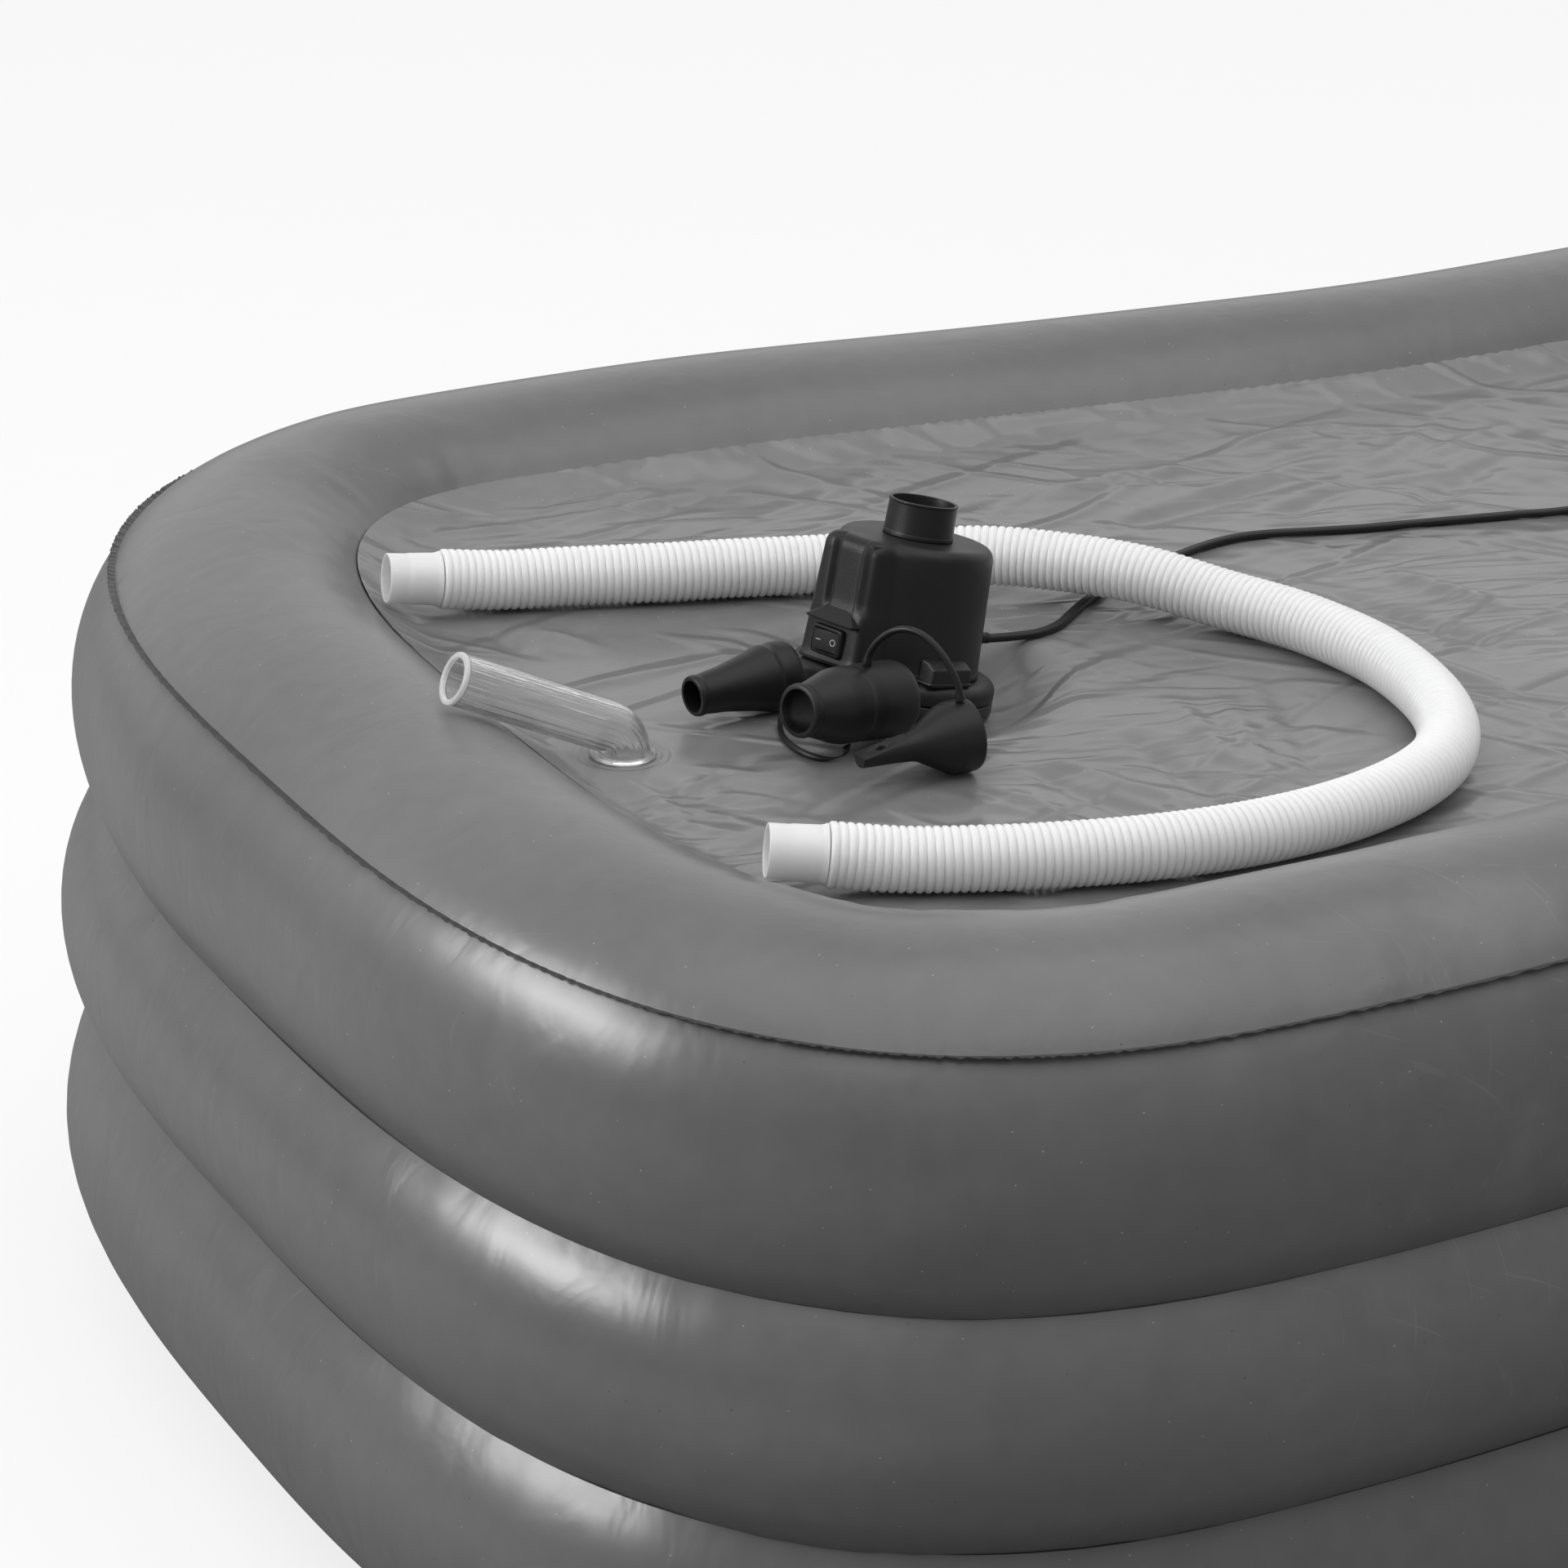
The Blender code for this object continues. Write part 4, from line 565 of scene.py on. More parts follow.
def carried(path: Array, across: Array, upward: Array, side: Array | None = None) -> Array:
    """A section carried along a path: path + side * across + up * upward.

    The side is the unit cross product of the tangent with straight up, unless it is given, and up is that of side
    and tangent.

    Args:
        path: (n, 3) points.
        across: (n, m) or (m,) distances to the side.
        upward: (n, m) or (m,) distances upward.
        side: one direction across the whole path.

    Returns:
        (n, m, 3) grid.
    """
    ahead = np.gradient(path, axis=0)
    ahead /= np.linalg.norm(ahead, axis=1)[:, None]
    side = np.cross(ahead, UP) if side is None else np.broadcast_to(side, ahead.shape)
    side = side / np.linalg.norm(side, axis=1)[:, None]
    up = np.cross(side, ahead)
    across, upward = (np.broadcast_to(v, (len(path), v.shape[-1]))[..., None] for v in (across, upward))
    return path[:, None] + side[:, None] * across + up[:, None] * upward


def circle(count: int) -> tuple[Array, Array]:
    """Cosines and sines of equal steps round a circle."""
    angle = np.arange(count) * TURN / count
    return np.cos(angle), np.sin(angle)


def rod(path: Array, radii: Array, steps: int = 20, side: Array | None = None) -> Array:
    """A round solid along a path, with a pole at each end: its grid is left open.

    Args:
        path: (n, 3) points.
        radii: (n,) radii.
        steps: columns.
        side: one direction across the whole path.

    Returns:
        (n + 2, steps, 3) grid.
    """
    cosine, sine = circle(steps)
    core = carried(path, radii[:, None] * cosine, radii[:, None] * sine, side)
    ends = [np.broadcast_to(path[k], (1, steps, 3)) for k in (0, -1)]
    return np.concatenate([ends[0], core, ends[1]])


def pipe(path: Array, outer: Array, inner: Array, steps: int = 24, side: Array | None = None, thin: int = 1) -> Array:
    """A round pipe along a path: out along its outside and back along its bore, to be closed as a ring.

    Args:
        path: (n, 3) points.
        outer: (n,) outside radii.
        inner: (n,) bore radii.
        steps: columns.
        side: one direction across the whole path.
        thin: every how many points the bore has a row.

    Returns:
        (rows, steps, 3) grid.
    """
    cosine, sine = circle(steps)
    out, back = (carried(path, r[:, None] * cosine, r[:, None] * sine, side) for r in (outer, inner))
    return np.concatenate([out, back[-1:], back[::-1][thin:-1:thin], back[:1]])


def filleted(profile: list, radius: float, closed: bool = True, steps: int = 5) -> Array:
    """A profile with each corner rounded.

    Each corner c is left for the curve (1-t)^2 a + 2t(1-t) c + t^2 b, whose ends a and b lie the radius away
    from it, or less than half of a short side.

    Args:
        profile: (x, y) or (x, y, z) points.
        radius: how far from the corner the rounding starts.
        closed: whether the profile is a loop; else its ends stay.
        steps: points on each rounding.

    Returns:
        (n, k) points.
    """
    corner = np.array(profile, float)
    before, after = np.roll(corner, 1, axis=0) - corner, np.roll(corner, -1, axis=0) - corner
    sizes = [np.linalg.norm(v, axis=1)[:, None] + 1e-12 for v in (before, after)]
    a = corner + before / sizes[0] * np.minimum(radius, 0.45 * sizes[0])
    b = corner + after / sizes[1] * np.minimum(radius, 0.45 * sizes[1])
    t = np.linspace(0, 1, steps)[None, :, None]
    curve = (1 - t) ** 2 * a[:, None] + 2 * t * (1 - t) * corner[:, None] + t**2 * b[:, None]
    if closed:
        return curve.reshape(-1, corner.shape[1])
    return np.concatenate([corner[:1], curve[1:-1].reshape(-1, corner.shape[1]), corner[-1:]])


def turned(profile: Array, steps: int = 64) -> Array:
    """A profile of (radius, height) points turned about local Z: (r cos a, r sin a, z).

    Args:
        profile: (n, 2) radii and heights.
        steps: columns.

    Returns:
        (n, steps, 3) grid.
    """
    cosine, sine = circle(steps)
    radius, height = profile[:, :1], profile[:, 1:]
    return np.stack([radius * cosine, radius * sine, np.broadcast_to(height, (len(profile), steps))], axis=-1)


def squared(value: Array, power: float) -> Array:
    """A signed power of a sine or cosine: the smaller the power, the squarer the loop."""
    return np.sign(value) * np.abs(value) ** power


def boxy(half: Point, rise_power: float, turn_power: float, rows: int = 22, columns: int = 48) -> Array:
    """A box with rounded edges, for an open grid: each half size times a signed power of a sine or cosine.

    Args:
        half: half sizes.
        rise_power: the smaller, the sharper the upper and lower edges.
        turn_power: the smaller, the sharper the upright edges.
        rows: rows from the lower pole to the upper.
        columns: columns round it.

    Returns:
        (rows, columns, 3) grid.
    """
    rise = np.linspace(-math.pi / 2, math.pi / 2, rows)[:, None]
    up, out = (squared(v, rise_power) for v in (np.sin(rise), np.maximum(np.cos(rise), 0)))
    out[[0, -1]] = 0
    across, along = (squared(v, turn_power) for v in circle(columns))
    return np.stack([half[0] * out * across, half[1] * out * along, half[2] * up * np.ones(columns)], axis=-1)


def moved(grid: Array, place: Matrix) -> Array:
    """A grid carried by a place matrix."""
    turn = np.array(place)
    return grid @ turn[:3, :3].T + turn[:3, 3]


def frame_along(origin: Point, direction: Point, side: Point) -> Matrix:
    """A place whose local Z runs along the direction, and whose local X lies as near the side as it can.

    Args:
        origin: the place's origin.
        direction: of local Z.
        side: about that of local X.

    Returns:
        The place.
    """
    z = Vector(direction).normalized()
    y = z.cross(Vector(side)).normalized()
    return Matrix.Translation(Vector(origin)) @ Matrix((y.cross(z), y, z)).transposed().to_4x4()


def nearest(points: Array, targets: Array) -> Array:
    """Each point's distance to the nearest target, worked out in blocks to spare memory."""
    blocks = np.array_split(points, max(1, len(points) // 2000))
    return np.concatenate([np.linalg.norm(b[:, None] - targets[None], axis=2).min(axis=1) for b in blocks])


def smoothstep(value: Array, low: float, high: float) -> Array:
    """Zero below low, one above high, 3t^2 - 2t^3 between them."""
    t = np.clip((value - low) / (high - low), 0, 1)
    return t * t * (3 - 2 * t)


def ripple(u: Array, v: Array, waves: int, low: int, high: int, shear: float, seed: int) -> Array:
    """Seeded waves round a closed loop: the mean of cos(2 pi (n u + m v) + phase), scaled to about one.

    Args:
        u: share of the loop, zero to one.
        v: any second parameter.
        waves: how many waves are summed.
        low: fewest crests round the loop.
        high: most crests round the loop.
        shear: greatest m.
        seed: for the random draw.

    Returns:
        The sum, of the shape of u + v.
    """
    draw = np.random.default_rng(seed)
    n, phase = draw.integers(low, high, waves), draw.uniform(0, TURN, waves)
    m, size = draw.uniform(-shear, shear, waves), draw.uniform(0.5, 1.0, waves)
    total = sum(s * np.cos(TURN * (k * u + j * v) + p) for k, j, p, s in zip(n, m, phase, size))
    return total / math.sqrt(waves)


# The studio


@dataclass(frozen=True)
class Lamp:
    """A soft rectangular lamp. One that only adds its sheen is unseen by diffuse rays."""

    name: str
    place: Point
    target: Point
    size: tuple
    watts: float
    sheen_only: bool = False

    def hang(self) -> None:
        """Makes the lamp and turns it to its target."""
        data = bpy.data.lights.new(self.name, "AREA")
        data.shape, data.size, data.size_y = "RECTANGLE", *self.size
        data.energy = self.watts
        lamp = bpy.data.objects.new(self.name, data)
        lamp.location = self.place
        lamp.rotation_euler = (Vector(self.target) - Vector(self.place)).to_track_quat("-Z", "Y").to_euler()
        bpy.context.scene.collection.objects.link(lamp)
        lamp.visible_diffuse = not self.sheen_only


LAMPS = (
    Lamp("overhead_softbox", (-0.5, -0.6, 3.2), (-0.45, 0.0, 0.3), (4.6, 3.2), 50.0),
    Lamp("left_softbox", (-3.2, 0.6, 1.65), (-0.7, -0.3, 0.35), (1.5, 0.8), 27.0),
    Lamp("left_sheen", (-3.2, 0.68, 1.65), (-0.7, -0.3, 0.35), (1.5, 0.8), 38.0, True),
)


@dataclass
class Studio:
    """The camera at the photograph's place, the floor, the backdrop and the lights."""

    position: Point = (-1.794369, -2.206494, 1.413461)
    forward: Point = (0.4427333, 0.8065861, -0.3916708)
    right: Point = (0.8818649, -0.4706995, 0.0275009)
    lens: float = 124.266
    floor_reach: float = 14.0
    floor_whites: tuple = (0.90, 0.94)
    floor_grey: float = 0.26
    floor_glow: float = 0.78
    mirrored_share: float = 0.12
    mirrored_left: float = 0.5
    ambient: float = 0.30
    ceiling: float = 0.35
    backdrop_level: float = 0.84
    backdrop_heading: Point = (0.5, 0.866, 0.0)

    def camera(self) -> None:
        """Sets up the camera."""
        data = bpy.data.cameras.new("photo_camera")
        data.lens, data.sensor_width, data.sensor_fit = self.lens, 36.0, "HORIZONTAL"
        data.clip_start, data.clip_end = 0.05, 60.0
        camera = bpy.data.objects.new("photo_camera", data)
        bpy.context.scene.collection.objects.link(camera)
        ahead, right = Vector(self.forward), Vector(self.right)
        turn = Matrix((right, right.cross(ahead), -ahead)).transposed().to_4x4()
        camera.matrix_world = Matrix.Translation(Vector(self.position)) @ turn
        bpy.context.scene.camera = camera

    def floor(self) -> None:
        """A floor that the camera sees as pale, with the tub's shadow, and that gleams in the tub's left end."""
        reach = self.floor_reach
        mesh = bpy.data.meshes.new("studio_floor")
        corners = [(-reach, -reach, 0), (reach, -reach, 0), (reach, reach, 0), (-reach, reach, 0)]
        mesh.from_pydata(corners, [], [(0, 1, 2, 3)])
        floor = bpy.data.objects.new("studio_floor", mesh)
        bpy.context.scene.collection.objects.link(floor)
        made = bpy.data.materials.new("StudioFloor")
        graph = Graph(made)
        seen, mirrored = self.seen(graph), graph.add("LightPath", output=3)
        speckle = graph.noise(graph.place(), 30.0, 4.0)
        shown = graph.mix(speckle, *(grey(v) for v in self.floor_whites))
        left = graph.smooth(graph.add("SeparateXYZ", None, {0: graph.place()}) * -1, 0.75, 1.25)
        mirrored = mirrored * (self.mirrored_share + left * self.mirrored_left)
        colour = graph.mix(graph.maths("MAXIMUM", seen, mirrored), grey(self.floor_grey), shown)
        plain = graph.add("BsdfDiffuse", None, {"Color": colour})
        bright = graph.add("Emission", None, {"Color": grey(1.0), "Strength": 1.0})
        graph.output(graph.add("MixShader", None, {0: seen * self.floor_glow, 1: plain, 2: bright}))
        mesh.materials.append(made)

    def backdrop(self) -> None:
        """A world that is white where it is seen, and lights the tub from above and from behind."""
        world = bpy.data.worlds.new("white_world")
        bpy.context.scene.world = world
        graph = Graph(world)
        heading = graph.add("TexCoord", output=0)
        behind = graph.add("VectorMath", {"operation": "DOT_PRODUCT"}, {0: heading, 1: self.backdrop_heading}, 1)
        height = graph.add("SeparateXYZ", None, {0: heading}, 2)
        backdrop = graph.smooth(behind, -0.1, 0.6) * (1 - graph.smooth(height, 0.35, 0.8))
        above = graph.smooth(height, 0.3, 0.8) * self.ceiling
        level = self.ambient + backdrop * (self.backdrop_level - self.ambient) + above
        lit = graph.add("Background", None, {"Color": grey(1.0), "Strength": level})
        white = graph.add("Background", None, {"Color": grey(1.0), "Strength": 1.0})
        graph.output(graph.add("MixShader", None, {0: self.seen(graph), 1: lit, 2: white}))

    def seen(self, graph: Graph) -> Value:
        """One for rays that show the backdrop: the camera's, and those through the clear tube."""
        return graph.maths("MAXIMUM", graph.add("LightPath", output=0), graph.add("LightPath", output=6))

    def build(self) -> None:
        """Makes everything round the object."""
        self.camera()
        for lamp in LAMPS:
            lamp.hang()
        self.floor()
        self.backdrop()
        bpy.context.scene.view_settings.view_transform = "Standard"


# The tub


@dataclass
class Plan:
    """The chambers' centreline: straight sides with a slight waist and rounded ends."""

    half_straight: float = 0.540
    end_reach: float = 0.264
    half_width: float = 0.378
    corner_power: float = 2.95
    waist_share: float = 0.10
    turn_share: float = 0.45

    def line(self, count: int) -> tuple[Array, Array]:
        """The centreline and its outward directions, anticlockwise from the middle of the near side.

        An end is x = s + e |cos a|^(2/p), y = w sgn(sin a) |sin a|^(2/p), and a side bows in by a cosine. Points
        lie closer where the line turns.

        Args:
            count: points round the line.

        Returns:
            (count, 2) points and (count, 2) unit directions.
        """
        angle = np.linspace(-math.pi / 2, math.pi / 2, 1600)
        power = 2 / self.corner_power
        end_x = self.half_straight + self.end_reach * np.abs(np.cos(angle)) ** power
        end_y = self.half_width * squared(np.sin(angle), power)
        side_x = np.linspace(0, self.half_straight, 400)[:-1]
        bow = (1 + np.cos(math.pi * side_x / self.half_straight)) / 2
        side_y = -self.half_width * (1 - self.waist_share * bow)
        right = np.stack([np.concatenate([side_x, end_x, side_x[::-1]]),
                          np.concatenate([side_y, end_y, -side_y[::-1]])], axis=1)
        dense = evenly(np.concatenate([right, -right[1:]]), 3200)
        steps = np.diff(dense, axis=0)
        heading = np.unwrap(np.arctan2(steps[:, 1], steps[:, 0]))
        turned_by = np.concatenate([[0], np.cumsum(np.abs(np.diff(heading, append=heading[-1])))])
        gone = np.linspace(0, 1, len(dense))
        measure = (1 - self.turn_share) * gone + self.turn_share * turned_by / turned_by[-1]
        path = between(dense, measure, np.linspace(0, 1, count + 1)[:-1])
        for _ in range(6):
            path = (np.roll(path, 1, axis=0) + 2 * path + np.roll(path, -1, axis=0)) / 4
        ahead = np.roll(path, -1, axis=0) - np.roll(path, 1, axis=0)
        outward = np.stack([ahead[:, 1], -ahead[:, 0]], axis=1)
        return path, outward / np.linalg.norm(outward, axis=1)[:, None]

    def turning(self, outward: Array) -> Array:
        """How sharply the line turns at each point, from zero to one.

        Args:
            outward: (n, 2) outward directions.

        Returns:
            (n,) shares.
        """
        heading = np.unwrap(np.arctan2(outward[:, 1], outward[:, 0]))
        rate = np.gradient(heading)
        return np.clip(rate / rate.max(), 0, 1)


def round_plan(path: Array, outward: Array, across: Array, height: Array) -> Array:
    """A section carried round the plan line: (path + outward * across, height)."""
    return np.concatenate([path[:, None] + outward[:, None] * across[..., None], height[..., None]], axis=-1)


class Part(Enum):
    """The tub's three chambers, from the floor up."""

    RIM = "rim"
    MIDDLE = "middle"
    BASE = "base"


@dataclass
class Chamber:
    """One air chamber: an elliptic section carried round the plan."""

    part: Part
    level: float
    half_width: float
    half_height: float
    bulge: float
    bottom: float
    top: float | None = None
    rows: int = 900
    columns: int = 20
    seam_angle: float = math.radians(43)
    weld_angle: float = math.radians(134)
    valve: Point = (0.0, 0.0, 0.0)
    slow_wave: float = 0.0007
    seam_dip: float = 0.0010
    seam_crinkle: float = 0.0003
    seam_spread: float = 0.026
    slope_crinkle: float = 0.00014
    fan_crinkle: float = 0.00022
    weld_dip: float = 0.0010
    lobe_crinkle: float = 0.00016
    valve_press: Point = (0.021, 0.045, 0.02)

    def angles(self) -> Array:
        """The section's angles: one arc over the top, or an outer and an inner arc between two flats.

        Returns:
            Radians, twice as many as the columns.
        """
        start = math.asin((self.bottom - self.level) / self.half_height)
        if self.top is None:
            return np.linspace(start, math.pi - start, 2 * self.columns)
        stop = math.asin((self.top - self.level) / self.half_height)
        outer = np.linspace(start, stop, self.columns)
        return np.concatenate([outer, math.pi - outer[::-1]])

    def place(self, angle: Array, rise: Array) -> tuple[Array, Array]:
        """A section point at an angle, raised along the section's normal.

        The point is (bulge + a cos t, level + b sin t), and its normal is along (cos t / a, sin t / b).

        Args:
            angle: round the section from its outer side.
            rise: metres outwards.

        Returns:
            Distance outwards from the plan line, and height.
        """
        across, upward = np.cos(angle) / self.half_width, np.sin(angle) / self.half_height
        size = np.hypot(across, upward)
        return (self.bulge + self.half_width * np.cos(angle) + rise * across / size,
                self.level + self.half_height * np.sin(angle) + rise * upward / size)

    def relief(self, u: Array, angle: Array, turning: Array) -> Array:
        """How far the film stands out: slow waves, a crinkled pinch at the seam, and crinkles at welds and creases.

        Args:
            u: share of the way round.
            angle: round the section.
            turning: how sharply the plan turns.

        Returns:
            Metres along the normal.
        """
        seed = 10 + list(Part).index(self.part)
        slow = self.slow_wave * ripple(u, angle / TURN, 9, 5, 24, 3.0, seed)
        corner = 0.25 + 0.75 * smoothstep(turning, 0.1, 0.7)
        if self.top is not None:
            ends = (angle[:, :1], angle[:, self.columns - 1 : self.columns], angle[:, -1:])
            edge = np.min([np.abs(angle - end) for end in ends], axis=0)
            crinkle = ripple(u, angle, 12, 50, 150, 1.6, seed + 3) * np.exp(-edge / 0.22)
            return slow + self.lobe_crinkle * corner * crinkle
        seam, weld = angle - self.seam_angle, angle - self.weld_angle
        pucker = ripple(u, angle, 16, 90, 330, 2.0, seed + 1)
        fan = ripple(u, angle, 12, 40, 130, 1.4, seed + 2)
        rise = slow * smoothstep(np.abs(weld), 0.0, 0.25)
        rise = rise - (self.seam_dip + self.seam_crinkle * pucker) * np.exp(-((seam / self.seam_spread) ** 2))
        rise = rise + self.slope_crinkle * corner * pucker * np.exp(-np.abs(seam) / 0.14)
        rise = rise + self.fan_crinkle * corner * fan * np.exp(-(((np.abs(weld) - 0.28) / 0.22) ** 2))
        return rise - self.weld_dip * np.exp(-((weld / 0.03) ** 2))

    def build(self, plan: Plan) -> Obj:
        """Makes the chamber, pressed flat behind its valve.

        Args:
            plan: the tub's plan.

        Returns:
            The piece, which stands for the CAD chamber.
        """
        path, outward = plan.line(self.rows)
        angle = np.broadcast_to(self.angles(), (self.rows, 2 * self.columns))
        u = np.linspace(0, 1, self.rows, endpoint=False)[:, None]
        rise = self.relief(u, angle, plan.turning(outward)[:, None])
        across, height = self.place(angle, rise)
        grid = round_plan(path, outward, across, height)
        reach = np.linalg.norm(grid[..., [0, 2]] - np.array([self.valve[0], self.level]), axis=-1)
        flat_reach, round_reach, depth = self.valve_press
        near = (grid[..., 1] > 0) * (1 - smoothstep(reach, flat_reach, round_reach)) * (self.valve[1] > 0)
        wall = self.valve[1] - 2 * TOUCH
        pressed = np.where(grid[..., 1] > wall - depth, np.minimum(grid[..., 1], wall), grid[..., 1])
        grid[..., 1] += near * (pressed - grid[..., 1])
        name = f"{self.part.value}_chamber"
        return piece(f"{name}_film", [grid], CHAMBER_FILM, (name,))


@dataclass
class SeamFin:
    """The trimmed, nibbled edge of the weld that runs round the base chamber."""

    reach: float = 0.0050
    thickness: float = 0.0008
    droop: float = math.radians(25)
    root: float = 0.0022
    trimmed: float = 0.80
    nibble: float = 0.07
    notch: float = 0.0020
    wander: float = 0.09
    rows: int = 3000

    def build(self, plan: Plan, base: Chamber) -> Obj:
        """Makes the fin: a thin flat section whose tip and angle wander in seeded ripples.

        Args:
            plan: the tub's plan.
            base: the chamber that it stands on.

        Returns:
            The piece, which stands for the CAD fin.
        """
        path, outward = plan.line(self.rows)
        u = np.linspace(0, 1, self.rows, endpoint=False)
        nibble = ripple(u, 0.0, 20, 150, 900, 0.0, 31)
        notch = smoothstep(ripple(u, 0.0, 14, 60, 420, 0.0, 32), 0.9, 1.5)
        tip = self.reach * (self.trimmed + self.nibble * nibble) - self.notch * notch
        lean = base.seam_angle - self.droop + self.wander * ripple(u, 0.0, 16, 150, 700, 0.0, 33)
        foot = base.place(np.array(base.seam_angle), np.array(-self.root))
        share = np.array([0, 0.5, 1, 1, 0.5, 0])
        side = np.array([1, 1, 0.5, -0.5, -1, -1]) * self.thickness / 2
        along = -0.5 * self.root + (tip + self.root)[:, None] * share
        across = foot[0] + self.root * math.cos(base.seam_angle) / 2 + along * np.cos(lean)[:, None]
        across = across - side * np.sin(lean)[:, None]
        height = foot[1] + self.root * math.sin(base.seam_angle) / 2 + along * np.sin(lean)[:, None]
        height = height + side * np.cos(lean)[:, None]
        grid = round_plan(path, outward, across, height)
        # The fin wears the darker film: painted shade for the seam's shadow line.
        return piece("seam_fin_strip", [grid], FIN_PAINTED_SHADE_FILM, ("seam_fin",), sharp=60.0)


# What lies on the sheet, as the CAD places it

SHEET_TOP = 0.3921356
PLAN = Plan()


def laid(route: list) -> list:
    """Places whose X is given from the tub's end, and whose Y is a share of the plan's half width."""
    return [(END_X + x, share * PLAN.half_width, *rest) for x, share, *rest in route]


PUMP = (END_X + 0.2765, -0.0055)
PUMP_SINK = 0.012
PUMP_LEAN = math.radians(13.6)
PUMP_LEAN_HEADING = math.radians(24.6)
PUMP_HEADING = math.radians(194)
PLACE = (
    Matrix.Translation((*PUMP, SHEET_TOP - PUMP_SINK))
    @ Matrix.Rotation(PUMP_LEAN, 4, Vector((-math.sin(PUMP_LEAN_HEADING), math.cos(PUMP_LEAN_HEADING), 0)))
    @ Matrix.Rotation(PUMP_HEADING, 4, "Z")
)


@dataclass
class Hose:
    """The ribbed hose and its two smooth cuffs."""

    radius: float = 0.0157
    groove: float = 0.0012
    bore: float = 0.0127
    pitch: float = 0.0041
    collar: float = 0.0038
    steps: int = 28
    cuff_length: float = 0.028
    cuff_radius: float = 0.0133
    cuff_wall: float = 0.0014
    crossing: tuple = laid([(0.4090, 0.1534)])[0]
    crossing_spread: float = 0.080
    cord_radius: float = 0.0024
    rib: tuple = ((0.0, 0.10, 0.24, 0.5, 0.76, 0.90), (1.0, 0.62, 0.16, 0.0, 0.16, 0.62))
    route: list = field(default_factory=lambda: laid([
        (0.0800, 0.4651, 0.0055), (0.1100, 0.4471, 0.0028), (0.1400, 0.4291, 0.0001), (0.1740, 0.4048, 0.0),
        (0.2160, 0.3704, 0.0), (0.2589, 0.3399, 0.0), (0.3009, 0.3069, 0.0), (0.3414, 0.2672, 0.0),
        (0.3797, 0.2143, 0.0), (0.4130, 0.1444, 0.0), (0.4430, 0.0574, 0.0), (0.4689, -0.0450, 0.0),
        (0.4900, -0.1640, 0.0), (0.4990, -0.3042, 0.0), (0.4930, -0.4392, 0.0), (0.4780, -0.5450, 0.0),
        (0.4540, -0.6270, 0.0), (0.4240, -0.6799, 0.0), (0.3890, -0.7143, 0.0), (0.3510, -0.7328, 0.0),
        (0.3080, -0.7354, 0.0), (0.2620, -0.7196, 0.0), (0.2180, -0.6905, 0.0), (0.1840, -0.6601, 0.0),
        (0.1540, -0.6265, 0.0), (0.1250, -0.5939, 0.0026), (0.0960, -0.5614, 0.0052)]))

    def centreline(self) -> Array:
        """The line through both cuffs and the hose, lifted in a long low hump over the power cord.

        Returns:
            (400, 3) points.
        """
        route = np.array(self.route)
        near = np.hypot(route[:, 0] - self.crossing[0], route[:, 1] - self.crossing[1])
        lift = (2 * self.cord_radius + 2 * TOUCH) * np.exp(-((near / self.crossing_spread) ** 4))
        route[:, 2] += SHEET_TOP + TOUCH + self.radius + lift
        return smooth_curve(route, 400)

    def stretch(self, start: float, stop: float, count: int) -> Array:
        """Evenly spaced points of the centreline between two distances along it."""
        whole = self.centreline()
        return between(whole, distances(whole), np.linspace(start, stop, count))

    def build_hose(self) -> Obj:
        """Makes the ribbed hose. A rib is a round crest of six rows between narrow valleys.


        Returns:
            The piece, which stands for the CAD hose.
        """
        start, stop = self.cuff_length + TOUCH, length_of(self.centreline()) - self.cuff_length - TOUCH
        ribs = int((stop - start - 2 * self.collar) / self.pitch)
        phase, depth = np.array(self.rib)
        share = np.append(np.add.outer(np.arange(ribs), phase).ravel(), ribs) / ribs
        inner = start + self.collar + share * (stop - start - 2 * self.collar)
        ends = np.array([0.0, 0.0010, self.collar - 0.0007])
        along = np.concatenate([start + ends, inner, stop - ends[::-1]])
        fine = self.stretch(start, stop, 3000)
        path = between(fine, np.linspace(start, stop, len(fine)), along)
        wave = np.append(np.tile(depth, ribs), depth[0])
        plain = np.array([0.9, 0.10, 0.0]) * self.groove
        radii = self.radius - np.concatenate([plain, self.groove * wave, plain[::-1]])
        grid = pipe(path, radii, np.full(len(path), self.bore), self.steps, thin=4)
        cosine, sine = circle(self.steps)
        flow = flowing(grid, self.radius * cosine, self.radius * sine, np.linspace(0, 0.12, len(grid))[:, None])
        made = piece("ribbed_hose", [grid], WHITE_HOSE, ("hose",), sharp=80.0, vectors=flow)
        return made

    def build_cuff(self, name: str, mouth: float, root: float) -> Obj:
        """Makes a cuff: a turned wall that widens a little towards its root.

        Args:
            name: the CAD cuff that it stands for.
            mouth: distance of its mouth along the centreline.
            root: distance of its root.

        Returns:
            The piece.
        """
        a, b = self.stretch(mouth, root, 2)
        r, wall, length = self.cuff_radius, self.cuff_wall, self.cuff_length - TOUCH
        outline = filleted([
            (r - wall, 0), (r - 0.0003, 0), (r - 0.0003, 0.010), (r, 0.012), (r + 0.0003, length - 0.003),
            (r + 0.0009, length - 0.0008), (r + 0.0014, length), (r - wall, length)], 0.0006)
        grid = moved(turned(outline), frame_along(a, b - a, (0, 0, 1)))
        return piece(f"{name}_sleeve", [grid], WHITE_HOSE, (name,), vectors=flowing(grid, 0, 0, outline[:, 1:] / 4))

    def build(self) -> None:
        """Makes both cuffs and the hose."""
        total = length_of(self.centreline())
        self.build_cuff("far_cuff", 0.0, self.cuff_length)
        near = self.build_cuff("near_cuff", total, total - self.cuff_length)
        self.build_hose()


